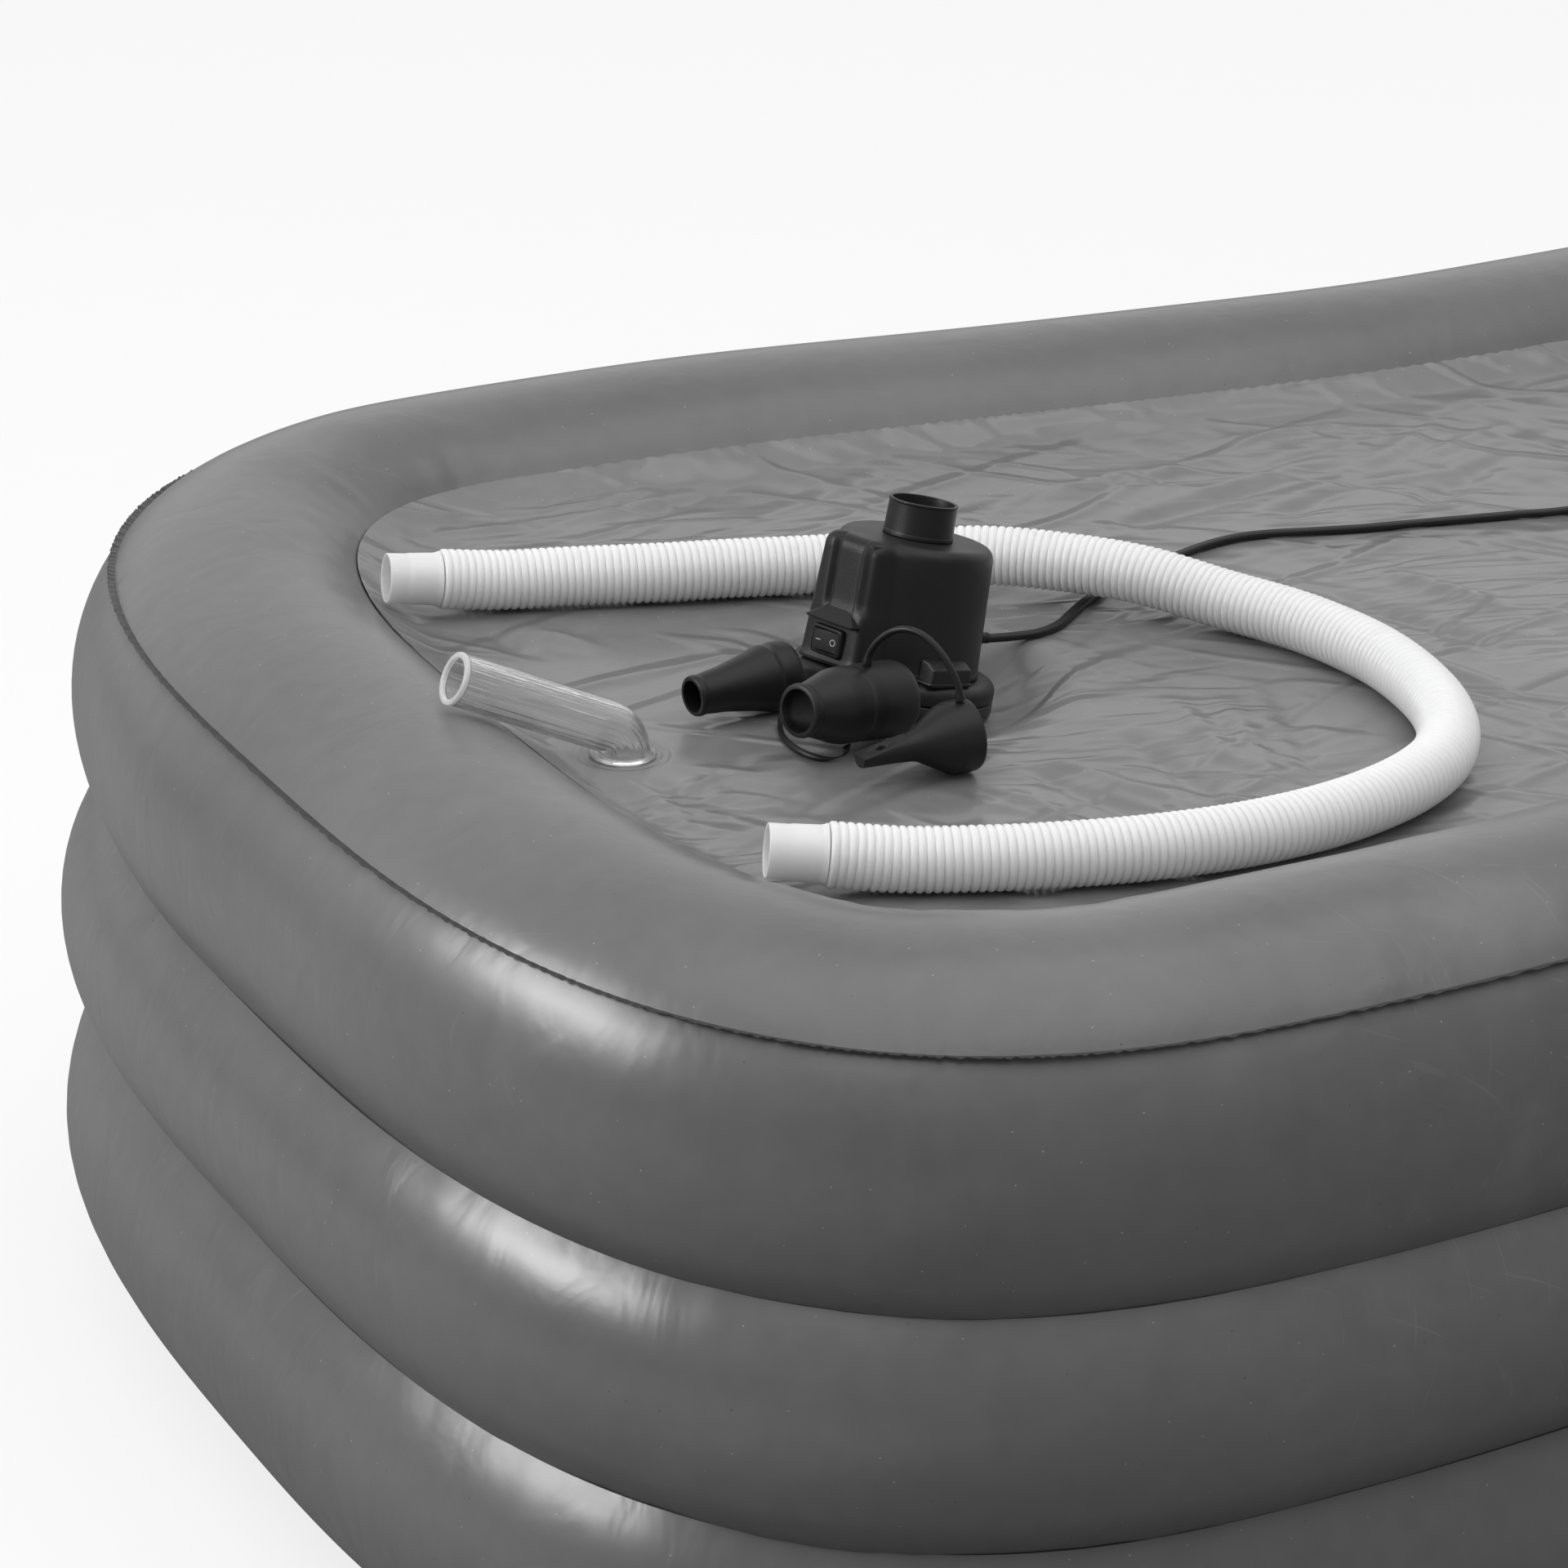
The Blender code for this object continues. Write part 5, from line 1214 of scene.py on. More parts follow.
@dataclass
class PowerCord:
    """The pump's flat two-core cord: its relief, the cord in one piece to the coil and the plug, and a tie."""

    radius: float = 0.0024
    half_width: float = 0.0027
    half_height: float = 0.0021
    coil: Point = (END_X + 0.810, 0.014, 0.033)
    coil_pitch: float = 0.0056
    coil_layer: float = 0.0054
    coil_turns: int = 2
    coil_start: float = math.radians(97)
    coil_steps: int = 24
    relief_length: float = 0.022
    relief_radius: float = 0.0042
    wall: float = 0.0022
    draft: float = 0.0025
    body_radius: float = 0.042
    level: float = 0.0326
    plug: tuple = (END_X + 0.894, 0.046)
    plug_size: Point = (0.034, 0.026, 0.012)
    plug_rows: tuple = (
        (0, 0, 0.03, 0.12, 0.22, 0.24, 0.26, 0.32, 0.34, 0.36, 0.42, 0.44, 0.46, 0.52, 0.6, 0.9, 0.97, 1, 1),
        (0, 0.36, 0.42, 0.46, 0.62, 0.58, 0.66, 0.78, 0.74, 0.80, 0.88, 0.84, 0.89, 0.95, 1, 1, 0.97, 0.9, 0),
        (0, 0.60, 0.68, 0.75, 0.86, 0.84, 0.88, 0.94, 0.92, 0.95, 0.98, 0.96, 0.98, 1, 1, 1, 0.96, 0.85, 0))
    pin: Point = (0.0024, 0.019, 0.019)
    waist_dip: tuple = (0.17, 0.0007)
    relief_ribs: int = 6
    tie_heading: float = math.radians(250)
    tie_half_width: float = 0.003
    tie_thickness: float = 0.0007
    lead: list = field(default_factory=lambda: laid([
        (0.3810, 0.0370), (0.4000, 0.0688), (0.4215, 0.1124), (0.4440, 0.1481), (0.4690, 0.1799),
        (0.5004, 0.2116), (0.5300, 0.2354), (0.5560, 0.2394), (0.5840, 0.2222), (0.6140, 0.2011),
        (0.6468, 0.1852), (0.6790, 0.1693), (0.7090, 0.1548), (0.7379, 0.1399)]))
    tail: tuple = ((-0.0500, 0.0100), (-0.0320, 0.0090), (-0.0140, 0.0050))

    def coil_points(self) -> Array:
        """Two layers of loops, the lower winding in and the upper out, with a straight piece at each end.

        The radius is r + pitch (turns/2 - inward), and the height rises by a layer half way, over half a turn.

        Returns:
            (n, 3) points.
        """
        turn = np.arange(2 * self.coil_turns * self.coil_steps + 1) / self.coil_steps
        angle = self.coil_start - TURN * turn
        inward = np.minimum(turn, 2 * self.coil_turns - turn)
        radius = self.coil[2] + self.coil_pitch * (self.coil_turns / 2 - inward)
        climb = np.clip(2 * (turn - self.coil_turns) + 0.5, 0, 1)
        height = SHEET_TOP + TOUCH + self.radius + self.coil_layer * (3 - 2 * climb) * climb**2
        points = np.stack([self.coil[0] + radius * np.cos(angle), self.coil[1] + radius * np.sin(angle), height], -1)
        ends = [points[0] - points[1], points[-1] - points[-2]]
        first, last = (2 * self.radius * e / np.linalg.norm(e) for e in ends)
        return np.array([points[0] + first, *points, points[-1] + last])

    def path(self) -> Array:
        """The whole cord from its relief to its plug.

        Returns:
            (n, 3) points.
        """
        coil = self.coil_points()
        out = np.array(PLACE.to_3x3() @ Vector((-1, 0, 0)))
        start = np.array(PLACE @ Vector((-self.body_radius - self.relief_length - TOUCH, 0, self.level)))
        low = SHEET_TOP + TOUCH + self.radius
        ahead = (coil[1] - coil[0]) / np.linalg.norm(coil[1] - coil[0])
        entry = coil[0] - ahead * TOUCH
        lead = smooth_curve([start, start + out * 3 * self.radius, *((x, y, low) for x, y in self.lead),
                             entry - ahead * 4 * self.radius, entry], 60)
        ahead = (coil[-1] - coil[-2]) / np.linalg.norm(coil[-1] - coil[-2])
        leave = coil[-1] + ahead * TOUCH
        level = SHEET_TOP + TOUCH + self.plug_size[2] / 2
        levels = np.linspace(leave[2], level, len(self.tail) + 2)[1:-1]
        tail = smooth_curve([leave, leave + ahead * 4 * self.radius,
                             *((self.plug[0] + x, self.plug[1] + y, z) for (x, y), z in zip(self.tail, levels)),
                             (*self.plug, level)], 14)
        return np.concatenate([lead, coil[1:-1], tail])

    def build(self) -> None:
        """Makes the cord with a section like an eight: x = w c|c|^-.2, y = h s|s|^-.2 with a dip at its waist."""
        path = smooth_curve(self.path()[::2].tolist() + [self.path()[-1].tolist()], 1150)
        cosine, sine = circle(24)
        across, upward = self.half_width * squared(cosine, 0.8), self.half_height * squared(sine, 0.8)
        upward = upward * (1 - self.waist_dip[0] * np.exp(-((across / self.waist_dip[1]) ** 2)))
        core = carried(path - UP * (self.radius - self.half_height), across, upward)
        caps = [np.broadcast_to(path[k], (1, 24, 3)) for k in (0, -1)]
        made = piece("power_cord", [np.concatenate([caps[0], core, caps[1]])], BLACK_RUBBER,
                     ("cord_lead", "cord_coil", "cord_tail"), ring=False, sharp=70.0)
        plug = self.build_plug(path)
        pins = [self.build_pin(path, k, side) for k, side in enumerate((-1, 1))]
        self.build_relief()
        tie = self.build_tie()

    def build_relief(self) -> Obj:
        """Makes the tapered strain relief with its ribs.

        Returns:
            The piece, which stands for the CAD relief.
        """
        inside = self.wall + self.draft
        taper = np.linspace(inside + 0.003, inside + self.relief_length - 0.003, self.relief_ribs)
        profile = [(0, 0), (self.relief_radius, 0), (self.relief_radius, inside + 0.002)]
        for k, z in enumerate(taper):
            radius = self.relief_radius - (self.relief_radius - self.radius - 0.0005) * (k + 1) / self.relief_ribs
            profile += [(radius - 0.0005, z - 0.0006), (radius - 0.0005, z + 0.0003), (radius, z + 0.0009),
                        (radius, z + 0.0021)]
        end = inside + self.relief_length
        profile += [(self.radius + 0.0005, end), (0, end)]
        place = PLACE @ frame_along((-self.body_radius + inside, 0, self.level), (-1, 0, 0), (0, 0, 1))
        grid = moved(turned(filleted(profile, 0.0004, closed=False), 40), place)
        return piece("cord_relief", [grid], BLACK_RUBBER, ("strain_relief",), ring=False)

    def plug_place(self, path: Array) -> Matrix:
        """The plug's place: local Z along the cord's end, local X upwards."""
        ahead = path[-1] - path[-20]
        return frame_along(path[-1], (ahead[0], ahead[1], 0), (0, 0, 1))

    def build_plug(self, path: Array) -> Obj:
        """Makes the plug: rounded sections from a neck to a flat face, with grip grooves on both sides.

        The rows are shares of its length, width and height.

        Args:
            path: the cord's points.

        Returns:
            The piece, which stands for the CAD plug body.
        """
        length, width, height = self.plug_size
        z, wide, tall = np.array(self.plug_rows)
        cosine, sine = circle(48)
        x = tall[:, None] * height / 2 * squared(cosine, 0.5)
        y = wide[:, None] * width / 2 * squared(sine, 0.5)
        grid = np.stack([x, y, np.broadcast_to(z[:, None] * length, x.shape)], axis=-1)
        grid = moved(grid, self.plug_place(path))
        return piece("plug_moulding", [grid], BLACK_RUBBER, ("plug_body",), ring=False, sharp=35.0)

    def build_pin(self, path: Array, number: int, side: int) -> Obj:
        """Makes one round plug pin with a domed tip and a slimmer root.

        Args:
            path: the cord's points.
            number: 0 or 1.
            side: -1 or 1, across the plug.

        Returns:
            The piece, which stands for the CAD pin.
        """
        radius, length, spacing = self.pin
        place = self.plug_place(path) @ Matrix.Translation((0, side * spacing / 2, self.plug_size[0] - TOUCH))
        profile = filleted([(0, 0), (radius * 0.9, 0), (radius * 0.9, length * 0.5), (radius, length * 0.52),
                            (radius, length - 0.0006), (0, length)], 0.0018, closed=False, steps=8)
        grid = moved(turned(profile, 32), place)
        return piece(f"plug_prong_{number + 1}", [grid], STEEL, (f"plug_pin_{number + 1}",), ring=False)

    def build_tie(self) -> Obj:
        """Makes the tie: a squared band round the coil's turns on its near side.

        Returns:
            The piece, which the CAD model doesn't have.
        """
        x, y, radius = self.coil
        half = (2 * self.coil_pitch, self.coil_layer / 2 + self.radius + 0.0009)
        cosine, sine = circle(40)
        out = np.array([math.cos(self.tie_heading), math.sin(self.tie_heading), 0.0])
        along = np.array([-out[1], out[0], 0.0])
        loop = [squared(v, 0.6) for v in (cosine, sine)]
        middle = np.array([x, y, SHEET_TOP + TOUCH + self.radius + self.coil_layer / 2]) + out * radius
        lift = np.maximum(loop[1] * half[1], -half[1] + 0.0006)
        centre = middle + out * (loop[0] * half[0])[:, None] + UP * lift[:, None]
        outward = out * loop[0][:, None] + UP * loop[1][:, None]
        w, t = self.tie_half_width, self.tie_thickness
        grid = np.stack([centre + along * a + outward * r for a, r in ((-w, 0), (w, 0), (w, t), (-w, t))], axis=1)
        return piece("coil_tie", [grid], BLACK_RUBBER)


@dataclass
class Pump:
    """The air pump: its two-part base, fluted housing, hood, boss and spout."""

    body_radius: float = 0.042
    block_reach: float = 0.050
    block_half_width: float = 0.023
    block_power: int = 9
    join_power: int = 30
    base_overhang: float = 0.010
    block_overhang: float = 0.002
    plate_top: float = 0.009
    cover_low: float = 0.0093
    cover_top: float = 0.0193
    low: float = 0.0196
    top: float = 0.0856
    draft: float = 0.0025
    wall: float = 0.0022
    spout_radius: float = 0.0175
    spout_height: float = 0.0185
    spout_wall: float = 0.0016
    hood_low: float = 0.0411
    hood_height: float = 0.0080
    foot_ring: tuple = ((0.0006, 0.0), (-0.0004, 0.0004), (-0.0006, 0.0010), (-0.0006, 0.0026), (-0.0002, 0.0032),
                        (0.0, 0.0038))
    top_edge: float = 0.0058
    cover_edge: float = 0.0055
    tray_edge: float = 0.0035
    tray_floor: float = 0.0024
    groove: Point = (0.0019, -0.0090, 0.0014)
    flute: Point = (0.0021, 0.0158, 0.0040)
    panel: tuple = (0.0009, (-0.0094, -0.0082), (0.0098, 0.0108))
    hood_half: tuple = (0.0065, 0.0170)
    boss_half: Point = (0.0135, 0.0055, 0.0066)
    lip_half: Point = (0.0146, 0.0064, 0.0009)
    boss_x: float = 0.007
    columns: int = 200

    def around(self) -> Array:
        """Column angles, closest together on the block: s - 0.6 sin s."""
        s = np.arange(self.columns) * TURN / self.columns
        return s - 0.6 * np.sin(s)

    def outline(self, angle: Array, inset: Array, grow: float = 0.0, block_grow: float = 0.0) -> Array:
        """Distance from the pump's axis to its outside: the rounder of a circle and a square block towards +X.

        The block is a p-norm, (|cos a / reach|^9 + |sin a / width|^9)^(-1/9), and the two join as
        (circle^30 + block^30)^(1/30), which fills their corner.

        Args:
            angle: round the axis.
            inset: how far inside the outside.
            grow: how much wider the circle is than the housing.
            block_grow: how much wider the block is.

        Returns:
            Radii.
        """
        reach = np.maximum(self.block_reach + block_grow - inset, 1e-4)
        half = np.maximum(self.block_half_width + block_grow - inset, 1e-4)
        ahead, power, join = np.maximum(np.cos(angle), 0) / reach, self.block_power, self.join_power
        block = (ahead**power + (np.abs(np.sin(angle)) / half) ** power) ** (-1 / power)
        block = np.where(np.cos(angle) > 0, block, 0)
        round_part = self.body_radius + grow - inset
        return (round_part**join + block**join) ** (1 / join)

    def shell(self, rows: list, grow: float = 0.0, block_grow: float = 0.0) -> tuple[Array, Array, Array]:
        """A grid from rows of (inset, height) or (inset, height, circle share, circle radius).

        Args:
            rows: the profile, whose circle share blends the outline into a circle of that radius.
            grow: see outline.
            block_grow: see outline.

        Returns:
            Radii, angles and heights, each (rows, columns).
        """
        rows = [(*row, 0, 0)[:4] for row in rows]
        inset, height, share, circle_radius = (np.array(v)[:, None] for v in zip(*rows))
        angle = np.broadcast_to(self.around(), (len(rows), self.columns))
        radius = (1 - share) * self.outline(angle, inset * (1 - share), grow, block_grow) + share * circle_radius
        return radius, angle, np.broadcast_to(height, radius.shape)

    def as_grid(self, radius: Array, angle: Array, height: Array) -> Array:
        """Pump places from radii, angles and heights, carried to where the pump stands."""
        return moved(np.stack([radius * np.cos(angle), radius * np.sin(angle), height], axis=-1), PLACE)

    def build_housing(self) -> Obj:
        """Makes the tapering shell with a foot ring, a rounded top, two flutes and a sunk panel on its block.

        Groove and flute are bells, depth * exp(-((side - centre) / width)^2), whose lines lean as the block tapers.

        Returns:
            The piece, which stands for the CAD housing.
        """
        height, edge, hole = self.top - self.low, self.top_edge, self.spout_radius + TOUCH
        profile = [(inset, self.low + z) for inset, z in self.foot_ring]
        profile += [(self.draft * z / height, self.low + z) for z in np.linspace(0.006, height - edge, 22)]
        profile += [(self.draft + edge * (1 - math.cos(t)), self.top - edge * (1 - math.sin(t)))
                    for t in np.linspace(0, math.pi / 2, 9)[1:]]
        profile += [(self.draft + edge, self.top, share, hole) for share in (0.25, 0.5, 0.75, 1.0)]
        profile += [(self.draft + edge, self.top - self.wall, 1.0, hole)]
        inside = [(self.wall + self.draft * z / height, self.low + z) for z in np.linspace(height - self.wall, 0, 8)]
        radius, angle, level = self.shell(profile + inside)
        outside = np.arange(len(radius))[:, None] < len(profile) - 1
        front = smoothstep(np.cos(angle), 0.75, 0.88)
        hood_top = self.hood_low + self.hood_height
        above = smoothstep(level, hood_top - 0.003, hood_top + 0.004)
        edge_fade = smoothstep(radius, 0.026, 0.036)
        line = radius * np.sin(angle) - 0.0030 * (self.top - level) / height
        deep, left, right = self.panel
        sunk = deep * (smoothstep(line, *left) - smoothstep(line, *right))
        for deep, middle, wide in (self.groove, self.flute):
            sunk = sunk + deep * np.exp(-(((line - middle) / wide) ** 2))
        radius = radius - outside * front * above * edge_fade * sunk
        grid = self.as_grid(radius, angle, level)
        return piece("pump_housing_shell", [grid], BLACK_PLASTIC, ("pump_housing",), sharp=45.0)

    def build_fittings(self) -> None:
        """Makes the hood over the switch and the boss on the housing's side, each a rounded box that slopes."""
        half = self.hood_height / 2
        hood = boxy((*self.hood_half, half), 0.18, 0.16)
        lean = smoothstep(hood[..., 2] / self.hood_height + 0.5, 0.15, 1.0)
        reach = self.block_reach - 0.0024 + hood[..., 0] - lean * 0.0052 * (hood[..., 0] > 0)
        side, level = hood[..., 1] * (1 - 0.45 * lean) + 0.0012, hood[..., 2] + self.hood_low + half
        hood = np.stack([reach, side, level], axis=-1)
        piece("switch_hood", [moved(hood, PLACE)], BLACK_PLASTIC, ring=False)
        boss = boxy(self.boss_half, 0.14, 0.16)
        boss[..., 2] -= 0.0035 * smoothstep(boss[..., 2], 0.0, 0.0066) * smoothstep(boss[..., 1], -0.002, 0.0055)
        foot = np.array([self.boss_x, self.body_radius + 0.0002, self.low])
        grids = (boss + foot + UP * 0.0058, boxy(self.lip_half, 0.3, 0.22) + foot + UP * 0.0010)
        piece("housing_boss", [moved(grid, PLACE) for grid in grids], BLACK_PLASTIC, ring=False)

    def build_spout(self) -> Obj:
        """Makes the spout with a bead at its rim and a line at its foot.

        Returns:
            The piece, which stands for the CAD spout.
        """
        r, top, under = self.spout_radius, self.top + self.spout_height, self.top - self.wall - TOUCH
        inner = r - self.spout_wall
        profile = filleted([
            (inner, under - self.wall), (r + 0.003, under - self.wall), (r + 0.003, under), (r, under),
            (r, self.top + 0.0002), (r + 0.0005, self.top + 0.0004), (r + 0.0004, self.top + 0.0022),
            (r + 0.0002, self.top + 0.0025), (r - 0.0002, top - 0.0014), (r + 0.0001, top - 0.0011),
            (r + 0.0001, top), (inner, top)], 0.0004)
        return piece("spout_tube", [moved(turned(profile, 96), PLACE)], BLACK_PLASTIC, ("spout",))

    def build_base(self) -> None:
        """Makes the base in two rounded halves that meet in a groove."""
        grow, quarter = (self.base_overhang, self.block_overhang), math.pi / 2
        low, top, edge = self.cover_low, self.cover_top, self.cover_edge
        cover = [(self.wall + 0.0003, low), (0.0010, low), (0.0004, low + 0.0003), (0, low + 0.0010)]
        cover += [(edge * (1 - math.cos(t)), top - edge * (1 - math.sin(t))) for t in np.linspace(0, quarter, 10)]
        outer, inner = self.shell(cover, *grow), self.shell([(0.0015, top), (0.0022, top), (0.0022, low)])
        grid = self.as_grid(*(np.concatenate(pair) for pair in zip(outer, inner)))
        piece("base_cover_shell", [grid], BLACK_PLASTIC, ("base_cover",))
        low, top, edge = self.tray_floor, self.plate_top, self.tray_edge
        tray = [(low, low), (low, top), (0.0010, top), (0.0004, top - 0.0003), (0, top - 0.0010)]
        tray += [(edge * (1 - math.cos(t)), edge * (1 - math.sin(t))) for t in np.linspace(0, quarter, 8)]
        radius, _, level = self.shell(tray, *grow)
        zero = np.zeros((1, self.columns))
        radius, level = np.concatenate([zero, radius, zero]), np.concatenate([zero + low, level, zero])
        grid = self.as_grid(radius, self.around(), level)
        piece("base_plate_tray", [grid], BLACK_PLASTIC, ("base_plate",), ring=False)

    def build(self) -> None:
        """Makes the pump's outer parts."""
        self.build_base()
        self.build_housing()
        self.build_fittings()
        self.build_spout()


@dataclass
class Switch:
    """The rocker switch in the pump's block."""

    level: float = 0.0316
    face: float = 0.0503
    size: tuple = (0.021, 0.015)
    thickness: float = 0.002
    key: tuple = (0.0081, 0.0051)
    tilt: float = math.radians(9)
    crown: float = 0.0026
    dish: float = 0.0005
    mark_share: float = 0.55
    ring: Point = (0.0015, 0.0002, 0.00015)
    dash: Point = (0.0015, 0.00022, 0.00025)
    frame_rows: tuple = ((-0.0006, -0.0006), (0, -0.0006), (0, 0.0008), (-0.0003, 0.0016), (-0.0008, 0.002),
                         (-0.0011, 0.002), (-0.0012, 0.0015), (-0.0014, 0.0015), (-0.0015, 0.002), (-0.0018, 0.002),
                         (-0.0019, 0.0017), (-0.0019, -0.005), (-0.0008, -0.005))
    key_rows: tuple = ((-1, 0, 0), (-1, 0, 0.90), (-1, 0.0002, 0.96), (-1, 0.0006, 1), (1, 0.0006, 1),
                       (1, 0.0002, 0.96), (1, 0, 0.90), (1, 0, 0))

    def place(self) -> Matrix:
        """Local X to the pump's +Y, local Z out of its face."""
        return PLACE @ frame_along((self.face, 0, self.level), (1, 0, 0), (0, 1, 0))

    def build(self) -> None:
        """Makes the bezel, a rounded frame round a well, then the rocker and its two marks.

        The frame's rows are how far each grows beyond its size, and its height. The rocker's are the side, how far
        from it, and the share of its outline.
        """
        place = self.place()
        square = np.stack([squared(v, 0.22) for v in circle(96)], axis=1)
        half = np.array(self.size) / 2
        rows = [np.column_stack([square * (half + grow), np.full(96, z)]) for grow, z in self.frame_rows]
        piece("switch_frame", [moved(np.array(rows), place)], BLACK_PLASTIC, ("switch_bezel",))
        pivot = place @ Matrix.Rotation(self.tilt, 4, "Y")
        span, reach = self.key[0] * math.cos(self.tilt), self.key[1]
        top = [(span * t, self.crown + self.dish * (t * t - 1)) for t in np.linspace(-1, 1, 15)]
        outline = filleted([*top, (span * 0.8, -self.thickness), (-span * 0.8, -self.thickness)], 0.0006)
        middle = outline.mean(axis=0)
        rows = []
        for side, inset, keep in self.key_rows:
            flat = middle + (outline - middle) * keep
            rows.append(np.column_stack([flat[:, 0], np.full(len(flat), side * (reach - inset)), flat[:, 1]]))
        piece("rocker_key", [moved(np.array(rows), pivot)], BLACK_PLASTIC, ("rocker",), "rocker", ring=False)
        mark = self.mark_share * self.key[0]
        surface = self.crown + self.dish * (self.mark_share**2 - 1)
        radius, line, proud = self.ring
        section = np.array([(-line, -2 * proud), (line, -2 * proud), (line, proud), (-line, proud)])
        ring = turned(section + np.array([radius, surface]), 28) + np.array([mark, 0, 0])
        piece("off_ring_mark", [moved(ring, pivot)], PALE_INK, body="rocker")
        dash = boxy(self.dash, 0.3, 0.3) + np.array([-mark, 0, surface])
        piece("on_dash_mark", [moved(dash, pivot)], PALE_INK, body="rocker", ring=False)


# The nozzles' outsides, from mouth to socket: shares of the way from mouth radius to socket radius, and of the length
NARROW_SHAPE = (
    (0, 0), (.10, .015), (.12, .055), (.06, .08), (.24, .30), (.68, .60), (.97, .74), (1, .77), (.93, .80),
    (.93, .84), (1, .87), (1, .975), (.95, 1))
WIDE_SHAPE = (
    (0, 0), (.14, .012), (.16, .05), (.08, .075), (.12, .10), (.50, .23), (.86, .34), (.97, .42), (.98, .52),
    (.93, .55), (.95, .60), (1, .66), (1, .94), (.97, .98), (.90, 1))
PINCH_SHAPE = (
    (0, 0), (.03, .02), (.05, .10), (.10, .30), (.17, .46), (.24, .51), (.88, .75), (.93, .77), (.94, .80),
    (1, .82), (1, .985), (.97, 1))


@dataclass
class Nozzle:
    """One of the rubber nozzles: a turned shell from its mouth to its socket."""

    name: str
    mouth: Point
    heading: float
    rise: float
    mouth_radius: float
    socket_radius: float
    length: float
    shape: tuple
    closed: bool = False
    wall: float = 0.0016
    tip_length: float = 0.026
    tip_foot: float = 0.0003
    tip_slope: float = 0.21
    hole: tuple = ((0.0019, 0.0034), 0.0125, 0.0024)
    hole_rim: tuple = ((0.0030, 0.0080), 0.0120, 0.0004)

    def place(self) -> Matrix:
        """Local Z from mouth to socket, local X upwards. The mouth is given from the pump.

        Returns:
            The place.
        """
        heading, rise = math.radians(self.heading), math.radians(self.rise)
        ahead = (math.cos(heading) * math.cos(rise), math.sin(heading) * math.cos(rise), math.sin(rise))
        origin = (PUMP[0] + self.mouth[0], PUMP[1] + self.mouth[1], SHEET_TOP + self.mouth[2])
        return frame_along(origin, ahead, UP)

    def outside(self) -> Array:
        """The (radius, height) points of its outside.

        Returns:
            (n, 2) points.
        """
        swell, along = np.array(self.shape).T
        radius = self.mouth_radius + (self.socket_radius - self.mouth_radius) * swell
        return np.stack([radius, self.length * along], axis=1)

    def pinched(self, grid: Array) -> Array:
        """The closed tip: everything above a slanted flat is pressed down onto it, and an oval hole sinks into it.

        Args:
            grid: the turned shell, local X upwards and local Z from the tip.

        Returns:
            The flat's height at each point.
        """
        y, z = grid[..., 1], grid[..., 2]
        (wide, tall), middle, deep = self.hole
        hole = deep * (1 - smoothstep(np.hypot(y / wide, (z - middle) / tall), 0.7, 1.0))
        (wide, tall), middle, proud = self.hole_rim
        rim = proud * smoothstep(np.hypot(y / wide, (z - middle) / tall), 0.85, 1.0)
        return np.where(z < self.tip_length, self.tip_foot + self.tip_slope * z + rim - hole, 1.0)

    def build(self) -> None:
        """Makes the shell. The closed one has a slanted flat on its tip and a hole in it."""
        outside = filleted(self.outside().tolist(), 0.0012, closed=False, steps=6)
        if self.closed:
            outside = evenly(outside, 130)
        z = np.linspace(self.length, self.wall if self.closed else 0.0, 30)
        inside = np.interp(z, outside[:, 1], outside[:, 0]) - self.wall
        inside = np.minimum(inside, np.convolve(np.pad(inside, 2, mode="edge"), np.ones(5) / 5, "valid"))
        inner = np.stack([inside, z], axis=1)
        if self.closed:
            grid = turned(np.concatenate([[(0, 0)], outside, inner, [(0, self.wall)]]), 96)
            deep = np.where(np.arange(len(grid)) > len(outside), 1.2 * self.wall, 0.0)[:, None]
            grid[..., 0] = np.minimum(grid[..., 0], self.pinched(grid) - deep)
        else:
            grid = turned(np.concatenate([outside, inner]), 96)
        grid = moved(grid, self.place())
        piece(f"{self.name}_shell", [grid], BLACK_RUBBER, (self.name,), ring=not self.closed, sharp=50.0)


